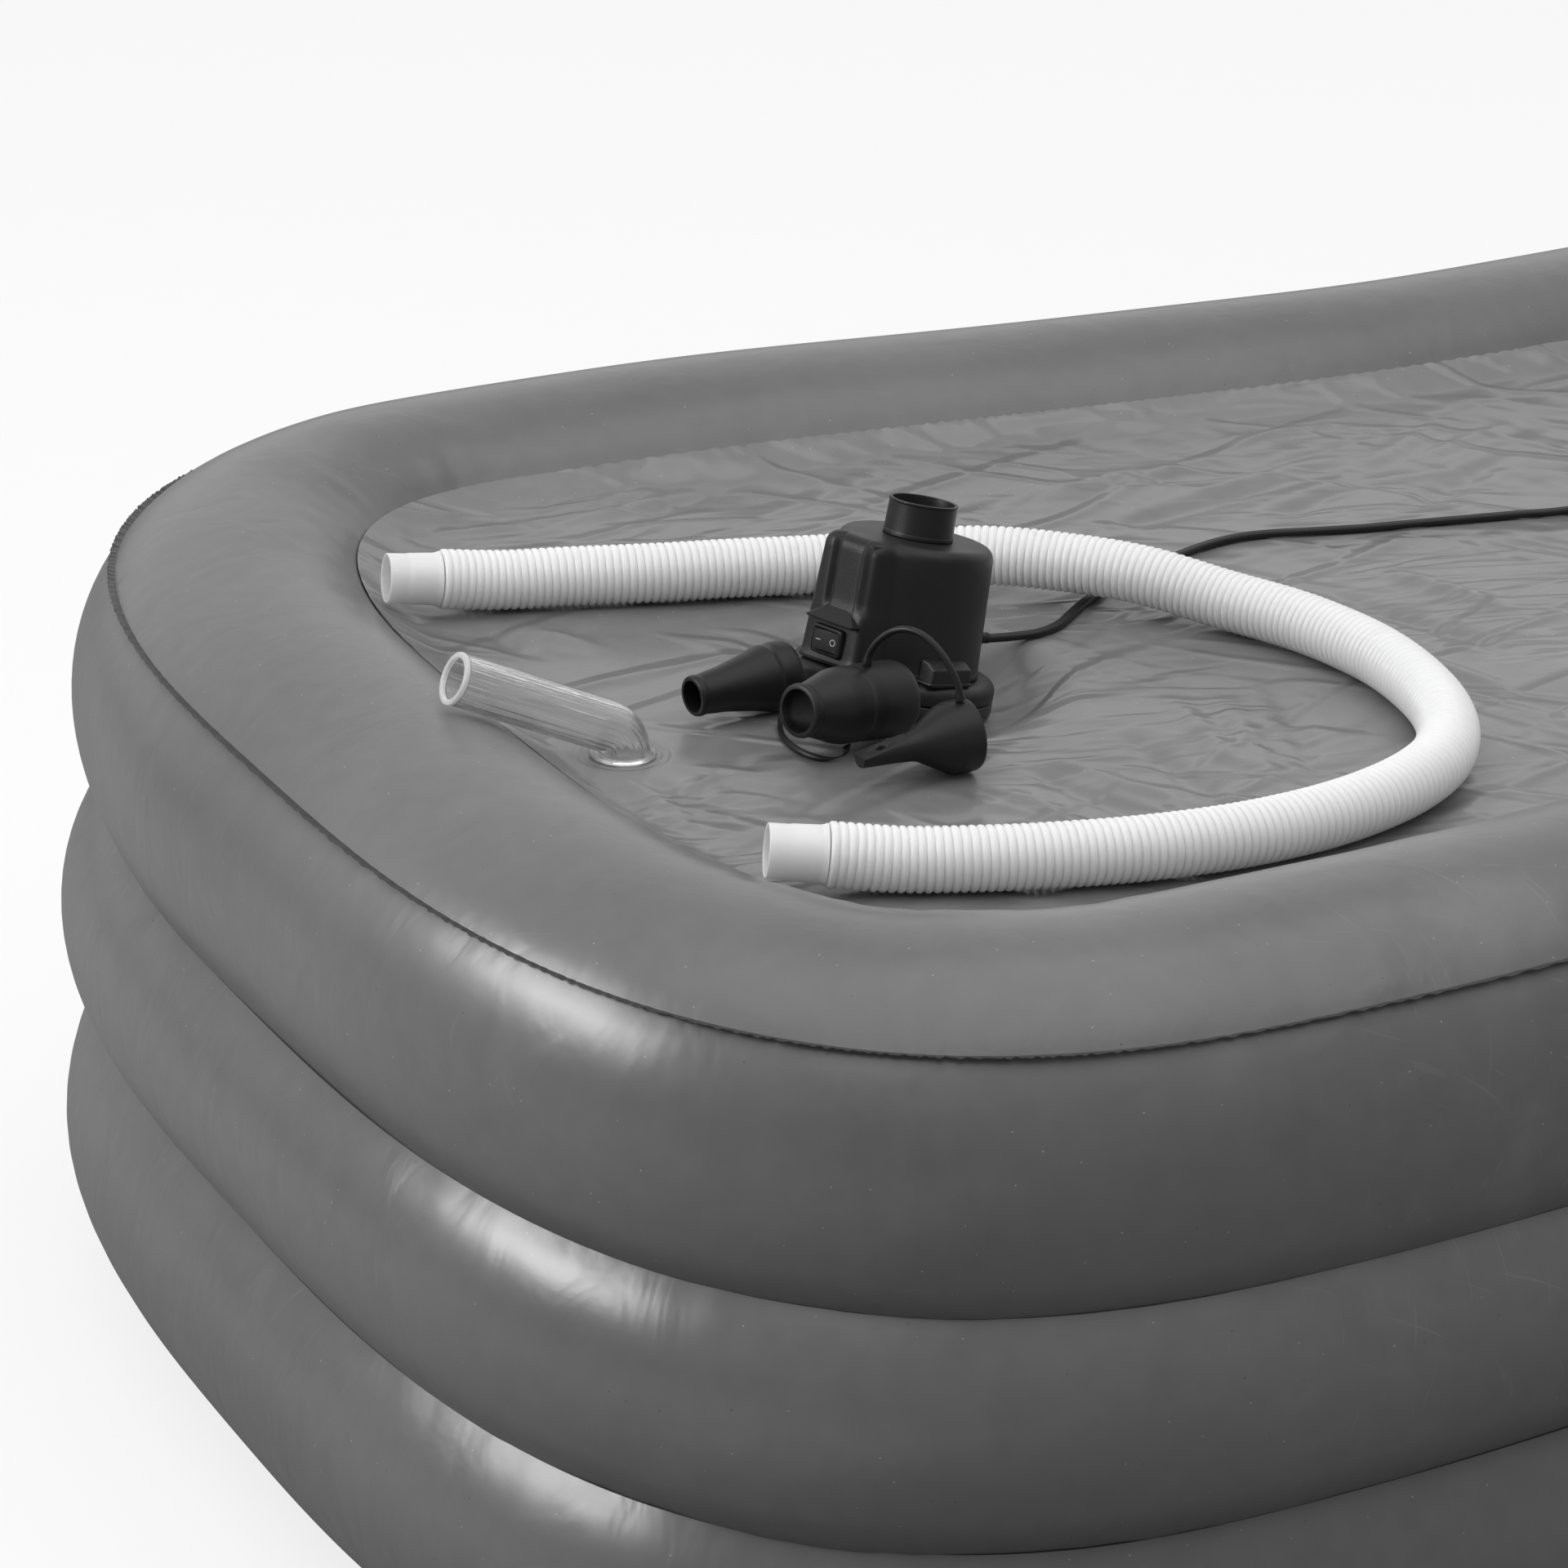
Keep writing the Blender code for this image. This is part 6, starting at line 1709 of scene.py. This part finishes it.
@dataclass
class Nozzles:
    """The three nozzles and the two moulded straps that join them."""

    narrow: Nozzle = field(default_factory=lambda: Nozzle(
        "narrow_nozzle", (-0.1205, -0.016, 0.0164), 6.3, 1.3, 0.0096, 0.017, 0.056, NARROW_SHAPE))
    wide: Nozzle = field(default_factory=lambda: Nozzle(
        "wide_nozzle", (-0.098, -0.083, 0.030), 15.1, -8.7, 0.0124, 0.0192, 0.066, WIDE_SHAPE))
    pinch: Nozzle = field(default_factory=lambda: Nozzle(
        "pinch_nozzle", (-0.0835, -0.1195, 0.017), 1.2, 1.4, 0.005, 0.018, 0.061, PINCH_SHAPE, True))
    strap_radius: float = 0.0017
    strap_bead: tuple = (0.45, 0.003)
    arch_height: float = 0.026
    arch_ends: tuple = (0.66, 0.92)
    lower: tuple = ((-0.0785, -0.0315, 0.0020), (-0.0835, -0.0395, 0.0000), (-0.0880, -0.0535, 0.0000),
                    (-0.0880, -0.0705, 0.0000), (-0.0820, -0.0825, 0.0000), (-0.0720, -0.0840, 0.0010),
                    (-0.0685, -0.0805, 0.0040))

    def build(self) -> None:
        """Makes everything. The upper strap rises as sin(pi t)^0.6 between its two ends."""
        for nozzle in (self.narrow, self.wide, self.pinch):
            nozzle.build()
        start, stop = (
            np.array(nozzle.place() @ Vector((nozzle.socket_radius + 0.0009, 0, nozzle.length * share)))
            for nozzle, share in zip((self.wide, self.pinch), self.arch_ends))
        t = np.linspace(0, 1, 60)[:, None]
        arch = start + (stop - start) * t + UP * self.arch_height * np.abs(np.sin(math.pi * t)) ** 0.6
        low = SHEET_TOP + self.strap_radius + TOUCH
        loop = smooth_curve([(PUMP[0] + x, PUMP[1] + y, low + lift) for x, y, lift in self.lower], 90)
        for name, path in (("upper", evenly(arch, 90)), ("lower", loop)):
            gone = np.linspace(0, length_of(path), len(path))
            swell, reach = self.strap_bead
            bead = np.exp(-((gone / reach) ** 2)) + np.exp(-(((gone[-1] - gone) / reach) ** 2))
            radii = self.strap_radius * (1 + swell * bead)
            grid = rod(path, radii, 20, self.strap_side(path))
            piece(f"{name}_strap", [grid], BLACK_RUBBER, (f"{name}_tether",), ring=False)

    def strap_side(self, path: Array) -> Array:
        """One steady direction across a strap's path."""
        chord = path[-1] - path[0]
        return np.cross(chord, UP) / np.linalg.norm(np.cross(chord, UP))


@dataclass
class DrainElbow:
    """The clear bent outlet on the sheet, with a ridged foot."""

    radius: float = 0.013
    wall: float = 0.0026
    riser: float = 0.002
    bend: float = 0.015
    length: float = 0.084
    rise: float = math.radians(24)
    heading: float = math.radians(174.5)

    def centreline(self, count: int) -> Array:
        """Up from the sheet, round the bend, then straight towards the tub's end.

        Args:
            count: how many points to give back.

        Returns:
            (count, 3) points.
        """
        ahead = np.array([math.cos(self.heading), math.sin(self.heading), 0])
        foot = np.array([*DRAIN, SHEET_TOP + TOUCH])
        knee = foot + UP * self.riser
        angle = np.linspace(0, math.pi / 2 - self.rise, 20)[:, None]
        bend = knee + self.bend * (ahead * (1 - np.cos(angle)) + UP * np.sin(angle))
        last = angle[-1, 0]
        straight = ahead * math.sin(last) + UP * math.cos(last)
        line = [foot[None], bend, bend[-1] + straight * self.length * np.linspace(0, 1, 40)[1:, None]]
        return evenly(np.concatenate(line), count)

    def build(self) -> None:
        """Makes the tube and the narrow bead at its foot."""
        count = 90
        path = self.centreline(count)
        ahead = np.array([math.cos(self.heading), math.sin(self.heading), 0])
        outer, inner = np.full(count, self.radius), np.full(count, self.radius - self.wall)
        grid = pipe(path, outer, inner, 72, np.cross(ahead, UP))
        cosine, sine = circle(72)
        flow = flowing(grid, 0.05 * cosine, 0.05 * sine, np.linspace(0, 0.02, len(grid))[:, None])
        piece("drain_tube", [grid], CLEAR_VINYL, ("drain_elbow",), vectors=flow)
        r, bore = self.radius, self.radius - self.wall - 0.0002
        low, high = 0.0001, 0.0026
        mouth = filleted([(bore, low), (r + 0.0004, low), (r + 0.0004, high), (bore, high)], 0.0011)
        rim = moved(turned(mouth, 72), frame_along(path[-1], path[-1] - path[-4], UP))
        piece("drain_rim", [rim], CLEAR_RIM, vectors=flowing(rim))
        foot = filleted([
            (r + 0.0001, low), (0.0164, low), (0.0164, 0.0007), (0.0150, 0.0011), (r + 0.0006, 0.0018),
            (r + 0.0001, 0.0038)], 0.0004)
        grid = moved(turned(foot, 96), Matrix.Translation((*DRAIN, SHEET_TOP + TOUCH)))
        piece("drain_foot", [grid], CLEAR_VINYL, vectors=flowing(grid))


@dataclass
class Valve:
    """One inflation valve on the far side: its welded body, its screwed insert and its hinged cap."""

    name: str
    x: float
    wall: float
    level: float
    flange: float = 0.022
    flange_top: float = 0.002
    neck: float = 0.015
    neck_height: float = 0.007
    bore: float = 0.012
    cap_thickness: float = 0.0024
    cap_wall: float = 0.0016
    cap_gap: float = 0.0006
    skirt: float = 0.001
    lug: tuple = (0.0012, 0.004)

    def build(self) -> None:
        """Makes all three, each turned, with the post on the body and the ear on the cap."""
        name = f"{self.name}_valve"
        here = frame_along((self.x, self.wall, self.level), (0, 1, 0), (1, 0, 0))
        top = self.flange_top + self.neck_height
        flange_top = self.flange_top
        profile = filleted([
            (self.bore, 0), (self.flange, 0), (self.flange, flange_top * 0.5), (self.flange - 0.003, flange_top),
            (self.neck + 0.0008, flange_top), (self.neck, flange_top + 0.001), (self.neck, top),
            (self.bore, top)], 0.0006)
        axis_x, axis_z = self.neck * 1.3, top + TOUCH + self.cap_thickness / 2
        post_half = (axis_z - self.cap_thickness - flange_top / 2) / 2
        post = boxy((*self.lug, post_half), 0.3, 0.3) + np.array([axis_x, 0, flange_top / 2 + post_half])
        piece(f"{name}_ring", [moved(turned(profile, 72), here)], BLACK_PLASTIC, (f"{name}_body",))
        piece(f"{name}_post", [moved(post, here)], BLACK_PLASTIC, ring=False)
        plug, seat, stem, step = self.bore - TOUCH, top - 0.003, 0.003, 0.0006
        insert = filleted([
            (0, 0), (plug, 0), (plug, seat + 0.0015), (plug - 0.0016, seat + 0.0015), (plug - 0.0020, seat),
            (stem + 0.003, seat), (stem + 0.003, seat + step), (stem, seat + step), (stem, top - TOUCH),
            (0, top - TOUCH)], 0.0004, closed=False)
        piece(f"{name}_seat", [moved(turned(insert, 60), here)], BLACK_PLASTIC, (f"{name}_insert",), ring=False)
        half, inner = self.cap_thickness / 2, self.neck + self.cap_gap
        outer, lip = inner + self.cap_wall, -half - TOUCH - self.skirt
        cap = filleted([
            (0, -half), (inner, -half), (inner, lip), (outer, lip), (outer, half), (outer - 0.003, half),
            (outer - 0.0038, half - step), (0.0066, half - step), (0.006, half), (0, half)], 0.0006, closed=False)
        lid = moved(turned(cap, 72), Matrix.Translation((0, 0, axis_z)))
        reach = (axis_x + self.lug[0] - inner + self.cap_wall) / 2
        ear = boxy((reach, self.lug[1], half), 0.25, 0.3) + np.array([axis_x + self.lug[0] - reach, 0, axis_z])
        piece(f"{name}_lid", [moved(lid, here), moved(ear, here)], BLACK_PLASTIC, (f"{name}_cap",),
              f"{self.name}_cap", ring=False)


# The sheet's creases, in millimetres: both ends in X and Y, width, and 1 for a ridge or -1 for a valley
CREASES = (
    (-674, 307, -633, 306, 7, 1), (-683, 290, -646, 256, 7, -1), (-688, 259, -658, 232, 6, 1),
    (-648, 316, -599, 316, 7, 1), (-631, 288, -564, 286, 9, -1), (-655, 278, -599, 274, 8, 1),
    (-592, 288, -511, 291, 9, 1), (-596, 322, -520, 313, 8, -1), (-575, 263, -486, 281, 11, 1),
    (-538, 258, -463, 285, 12, -1), (-642, 349, -604, 347, 6, 1), (-466, 330, -422, 267, 13, 1),
    (-303, 200, -191, 209, 15, 1), (-297, 141, -187, 163, 13, -1), (-228, 167, -131, 183, 12, 1),
    (-223, 108, -105, 172, 12, -1), (-169, 141, -47, 207, 12, 1), (-165, 82, -49, 147, 13, -1),
    (-176, 233, -99, 230, 9, 1), (-88, 164, -11, 191, 9, 1), (-728, -41, -686, -55, 4, 1),
    (-733, -61, -729, -106, 7, 1), (-712, -54, -723, -120, 7, -1), (-706, -68, -701, -119, 7, 1),
    (-697, -77, -673, -115, 8, -1), (-693, -95, -647, -116, 7, 1), (-715, -112, -689, -146, 8, 1),
    (-734, -115, -715, -155, 7, -1), (-664, -64, -623, -105, 8, 1), (-661, -93, -618, -146, 9, -1),
    (-662, -137, -614, -169, 8, 1), (-553, -142, -531, -196, 9, 1), (-524, -123, -502, -209, 11, -1),
    (-502, -132, -474, -201, 9, 1), (-456, -119, -456, -209, 12, -1), (-388, -103, -423, -202, 12, 1),
    (-348, -85, -396, -203, 11, -1), (-411, -92, -427, -178, 11, 1), (-677, 150, -646, 98, 13, 1),
    (-683, 178, -681, 102, 11, -1), (-523, 81, -528, 161, 12, 1), (-208, 19, -180, -47, 11, 1),
    (-249, -3, -213, -96, 12, -1), (-267, -84, -246, -143, 11, 1), (-738, 3, -746, -88, 5, 1),
    (-735, 65, -728, 4, 5, -1),
)


@dataclass
class FloorSheet:
    """The tub's floor sheet: welded at its edge, dented under the pump and creased where nothing lies on it."""

    plan: Plan
    inset: float
    weld_level: float
    thickness: float = 0.0006
    step: float = 0.011
    columns: int = 144
    edge_crowding: float = 0.50
    dense_until: float = 0.06
    dent_reach: float = 0.048
    wave: float = 0.0022
    pucker: float = 0.0005
    crease_share: float = 0.26
    station: float = 0.003
    end_ramp: tuple = (0.0002, 0.0004, 0.0007, 0.0010, 0.0013, 0.0016, 0.0019, 0.0022, 0.0026)

    def outline(self) -> Array:
        """The sheet's outline on the far side, as (x, y) points from left to right.

        Returns:
            (n, 2) points.
        """
        path, outward = self.plan.line(3000)
        edge = (path - outward * self.inset)[path[:, 1] >= 0]
        return edge[np.argsort(edge[:, 0])]

    def stations(self, end: float) -> Array:
        """X stations: very close at both ends, 3 mm apart over the left half, and wider on the right.

        Args:
            end: world X of the sheet's right end.

        Returns:
            (n,) world X.
        """
        ramp = np.cumsum(self.end_ramp)
        left = np.arange(-end + ramp[-1] + self.station, self.dense_until, self.station)
        right = np.linspace(self.dense_until, end - ramp[-1] - 0.004, 58)
        return np.concatenate([[-end], -end + ramp, left, right, end - ramp[::-1], [end]])

    def pump_plane(self, x: Array, y: Array) -> tuple[Array, Array]:
        """The height of the pump's leaning base over each place, and the place's distance outside its outline.

        Args:
            x: world X.
            y: world Y.

        Returns:
            Heights, each taken at the nearest part of the base, and distances.
        """
        turn = np.array(PLACE)
        solve = np.linalg.inv(turn[:2, :2])
        local = np.stack([x - turn[0, 3], y - turn[1, 3]], axis=-1) @ solve.T
        reach = np.hypot(local[..., 0], local[..., 1]) + 1e-9
        base = Pump()
        rim = base.outline(np.arctan2(local[..., 1], local[..., 0]), 0.0, base.base_overhang, base.block_overhang)
        held = local * np.minimum(1, rim / reach)[..., None]
        return turn[2, 3] + held @ turn[2, :2] - TOUCH * turn[2, 2], reach - rim

    def laid_pieces(self) -> Array:
        """Points along everything that lies on the sheet: hose, cord, drain, nozzles, lower strap and plug.

        Returns:
            (n, 2) points.
        """
        cord, nozzles = PowerCord().path()[::2, :2], Nozzles()
        spots = [Hose().centreline()[::3, :2], cord, DrainElbow().centreline(12)[:4, :2]]
        for nozzle in (nozzles.narrow, nozzles.wide, nozzles.pinch):
            place = nozzle.place()
            spots.append(np.array([(place @ Vector((0, 0, nozzle.length * t)))[:2] for t in np.linspace(0, 1, 10)]))
        spots.append(np.array([(PUMP[0] + x, PUMP[1] + y) for x, y, _ in nozzles.lower]))
        heading = cord[-1] - cord[-8]
        spots.append(cord[-1] + heading / np.linalg.norm(heading) * np.linspace(0, 0.055, 8)[:, None])
        return np.concatenate(spots)

    def creases(self, x: Array, y: Array) -> Array:
        """The sum of the crease strokes: each a bell across its line that fades at its ends.

        Args:
            x: world X.
            y: world Y.

        Returns:
            Metres above the sheet.
        """
        total = np.zeros(x.shape)
        for *millimetres, sign in CREASES:
            x0, y0, x1, y1, width = (size / 1000 for size in millimetres)
            run = np.hypot(x1 - x0, y1 - y0)
            ahead = ((x1 - x0) / run, (y1 - y0) / run)
            t = ((x - x0) * ahead[0] + (y - y0) * ahead[1]) / run
            off = (y - y0) * ahead[0] - (x - x0) * ahead[1]
            fade = smoothstep(t, -0.25, 0.25) * (1 - smoothstep(t, 0.75, 1.25))
            total += sign * self.crease_share * width * fade * np.exp(-((off / (0.62 * width)) ** 2))
        return total

    def height(self, x: Array, y: Array) -> Array:
        """The height of the sheet's upper side.

        Args:
            x: world X.
            y: world Y.

        Returns:
            Heights.
        """
        flat = np.stack([x.ravel(), y.ravel()], axis=1)
        path, outward = self.plan.line(1500)
        edge = path - outward * self.inset
        spans = np.array_split(flat, max(1, len(flat) // 2000))
        found = [np.linalg.norm(s[:, None] - edge[None], axis=2) for s in spans]
        inward = np.concatenate([f.min(axis=1) for f in found]).reshape(x.shape)
        share = (np.concatenate([f.argmin(axis=1) for f in found]) / len(edge)).reshape(x.shape)
        clear = nearest(flat, self.laid_pieces()).reshape(x.shape)
        plane, outside = self.pump_plane(x, y)
        free = smoothstep(clear, 0.019, 0.045) * smoothstep(outside, 0.004, 0.03) * smoothstep(inward, 0.002, 0.03)
        swell = np.sin(TURN * (x + 0.45 * y) / 0.150) * np.sin(TURN * (y - 0.3 * x) / 0.27 + 1.0)
        pucker = ripple(share, 0.0, 22, 40, 220, 0.0, 51) * np.exp(-inward / 0.05) * smoothstep(inward, 0.004, 0.020)
        relief = -self.wave * (1 + swell) / 2 + self.creases(x, y) + self.pucker * pucker
        foot = self.step * (2.1 + 0.30 * ripple(share, 0.0, 12, 6, 34, 0.0, 52))
        rise = (self.weld_level - SHEET_TOP) * np.clip(1 - inward / foot, 0, 1) ** 1.25
        level = SHEET_TOP + rise + free * relief
        hold = smoothstep(outside, 0.002, self.dent_reach)
        return plane + (level - plane) * hold

    def build(self) -> Obj:
        """Makes the sheet as one closed grid: out over its top and back under it.

        Returns:
            The piece, which stands for the CAD sheet.
        """
        outline = self.outline()
        end = outline[:, 0].max()
        stations = self.stations(end)
        reach = np.interp(stations, outline[:, 0], outline[:, 1])
        reach[[0, -1]] = 0
        s = np.linspace(-1, 1, self.columns)
        across = (1 - self.edge_crowding) * s + self.edge_crowding * np.sin(math.pi * s / 2)
        x = np.broadcast_to(stations[:, None], (len(stations), self.columns))
        y = reach[:, None] * across
        z = self.height(x, y)
        top = np.stack([x, y, z], axis=-1)
        under = top[:, ::-1] - UP * self.thickness
        grid = np.concatenate([top, under], axis=1)
        for k in (0, -1):
            grid[k] = grid[k].mean(axis=0)
        made = piece("floor_film", [grid], FLOOR_FILM, ("floor_sheet",), ring=False, sharp=80.0)
        2 * end + 0.002
        return made


class Tub:
    """The three chambers, the seam fin and the floor sheet, whose levels are taken from the CAD."""

    def __init__(self, plan: Plan) -> None:
        """Reads the chambers' joins from the CAD boxes.

        Args:
            plan: the tub's plan.
        """
        self.plan = plan
        low = {part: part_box(f"{part.value}_chamber")[0].z for part in Part}
        high = {part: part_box(f"{part.value}_chamber")[1].z for part in Part}
        self.chambers = [
            Chamber(Part.RIM, 0.092, 0.097, 0.097, 0.0, low[Part.RIM], high[Part.RIM], valve=(-0.130, 0.4428, 0.092)),
            Chamber(Part.MIDDLE, 0.214, 0.0935, 0.088, 0.003, low[Part.MIDDLE], high[Part.MIDDLE],
                    valve=(0.0, 0.4376, 0.214)),
            Chamber(Part.BASE, 0.332, 0.0885, 0.0975, 0.0, low[Part.BASE], None, 1300, 33,
                    valve=(0.130, 0.43511, 0.332)),
        ]

    def build(self) -> None:
        """Makes the chambers, the fin, the sheet and the valves."""
        for chamber in self.chambers:
            chamber.build(self.plan)
            Valve(chamber.part.value, *chamber.valve).build()
        base = self.chambers[-1]
        SeamFin().build(self.plan, base)
        inset = -base.half_width * math.cos(base.weld_angle) + TOUCH
        weld_level = base.level + base.half_height * math.sin(base.weld_angle) + TOUCH
        FloorSheet(self.plan, inset, weld_level).build()


# The CAD nodes that stay in view
INNER_PARTS = {
    CLEAR_VINYL: ("drain_flange",),
    BLACK_RUBBER: ("drain_stopper",),
    BLACK_PLASTIC: ("motor_plate", "impeller"),
    STEEL: ("motor", "motor_shaft", "base_screw_1", "base_screw_2", "base_screw_3", "base_screw_4"),
}


def dress() -> None:
    """Gives every CAD node that stays in view the finish of its material."""
    for finish, names in INNER_PARTS.items():
        for name in names:
            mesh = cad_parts[name].data
            mesh.materials.clear()
            mesh.materials.append(finish.material())
            log.info("%s: dressed", name)


def main() -> None:
    """Makes the studio, the cords, then the rest of the object."""
    logging.basicConfig(level=logging.INFO, format="%(message)s")
    Studio().build()
    Hose().build()
    PowerCord().build()
    Tub(PLAN).build()
    Pump().build()
    Switch().build()
    Nozzles().build()
    DrainElbow().build()
    dress()


if __name__ == "__main__":
    main()
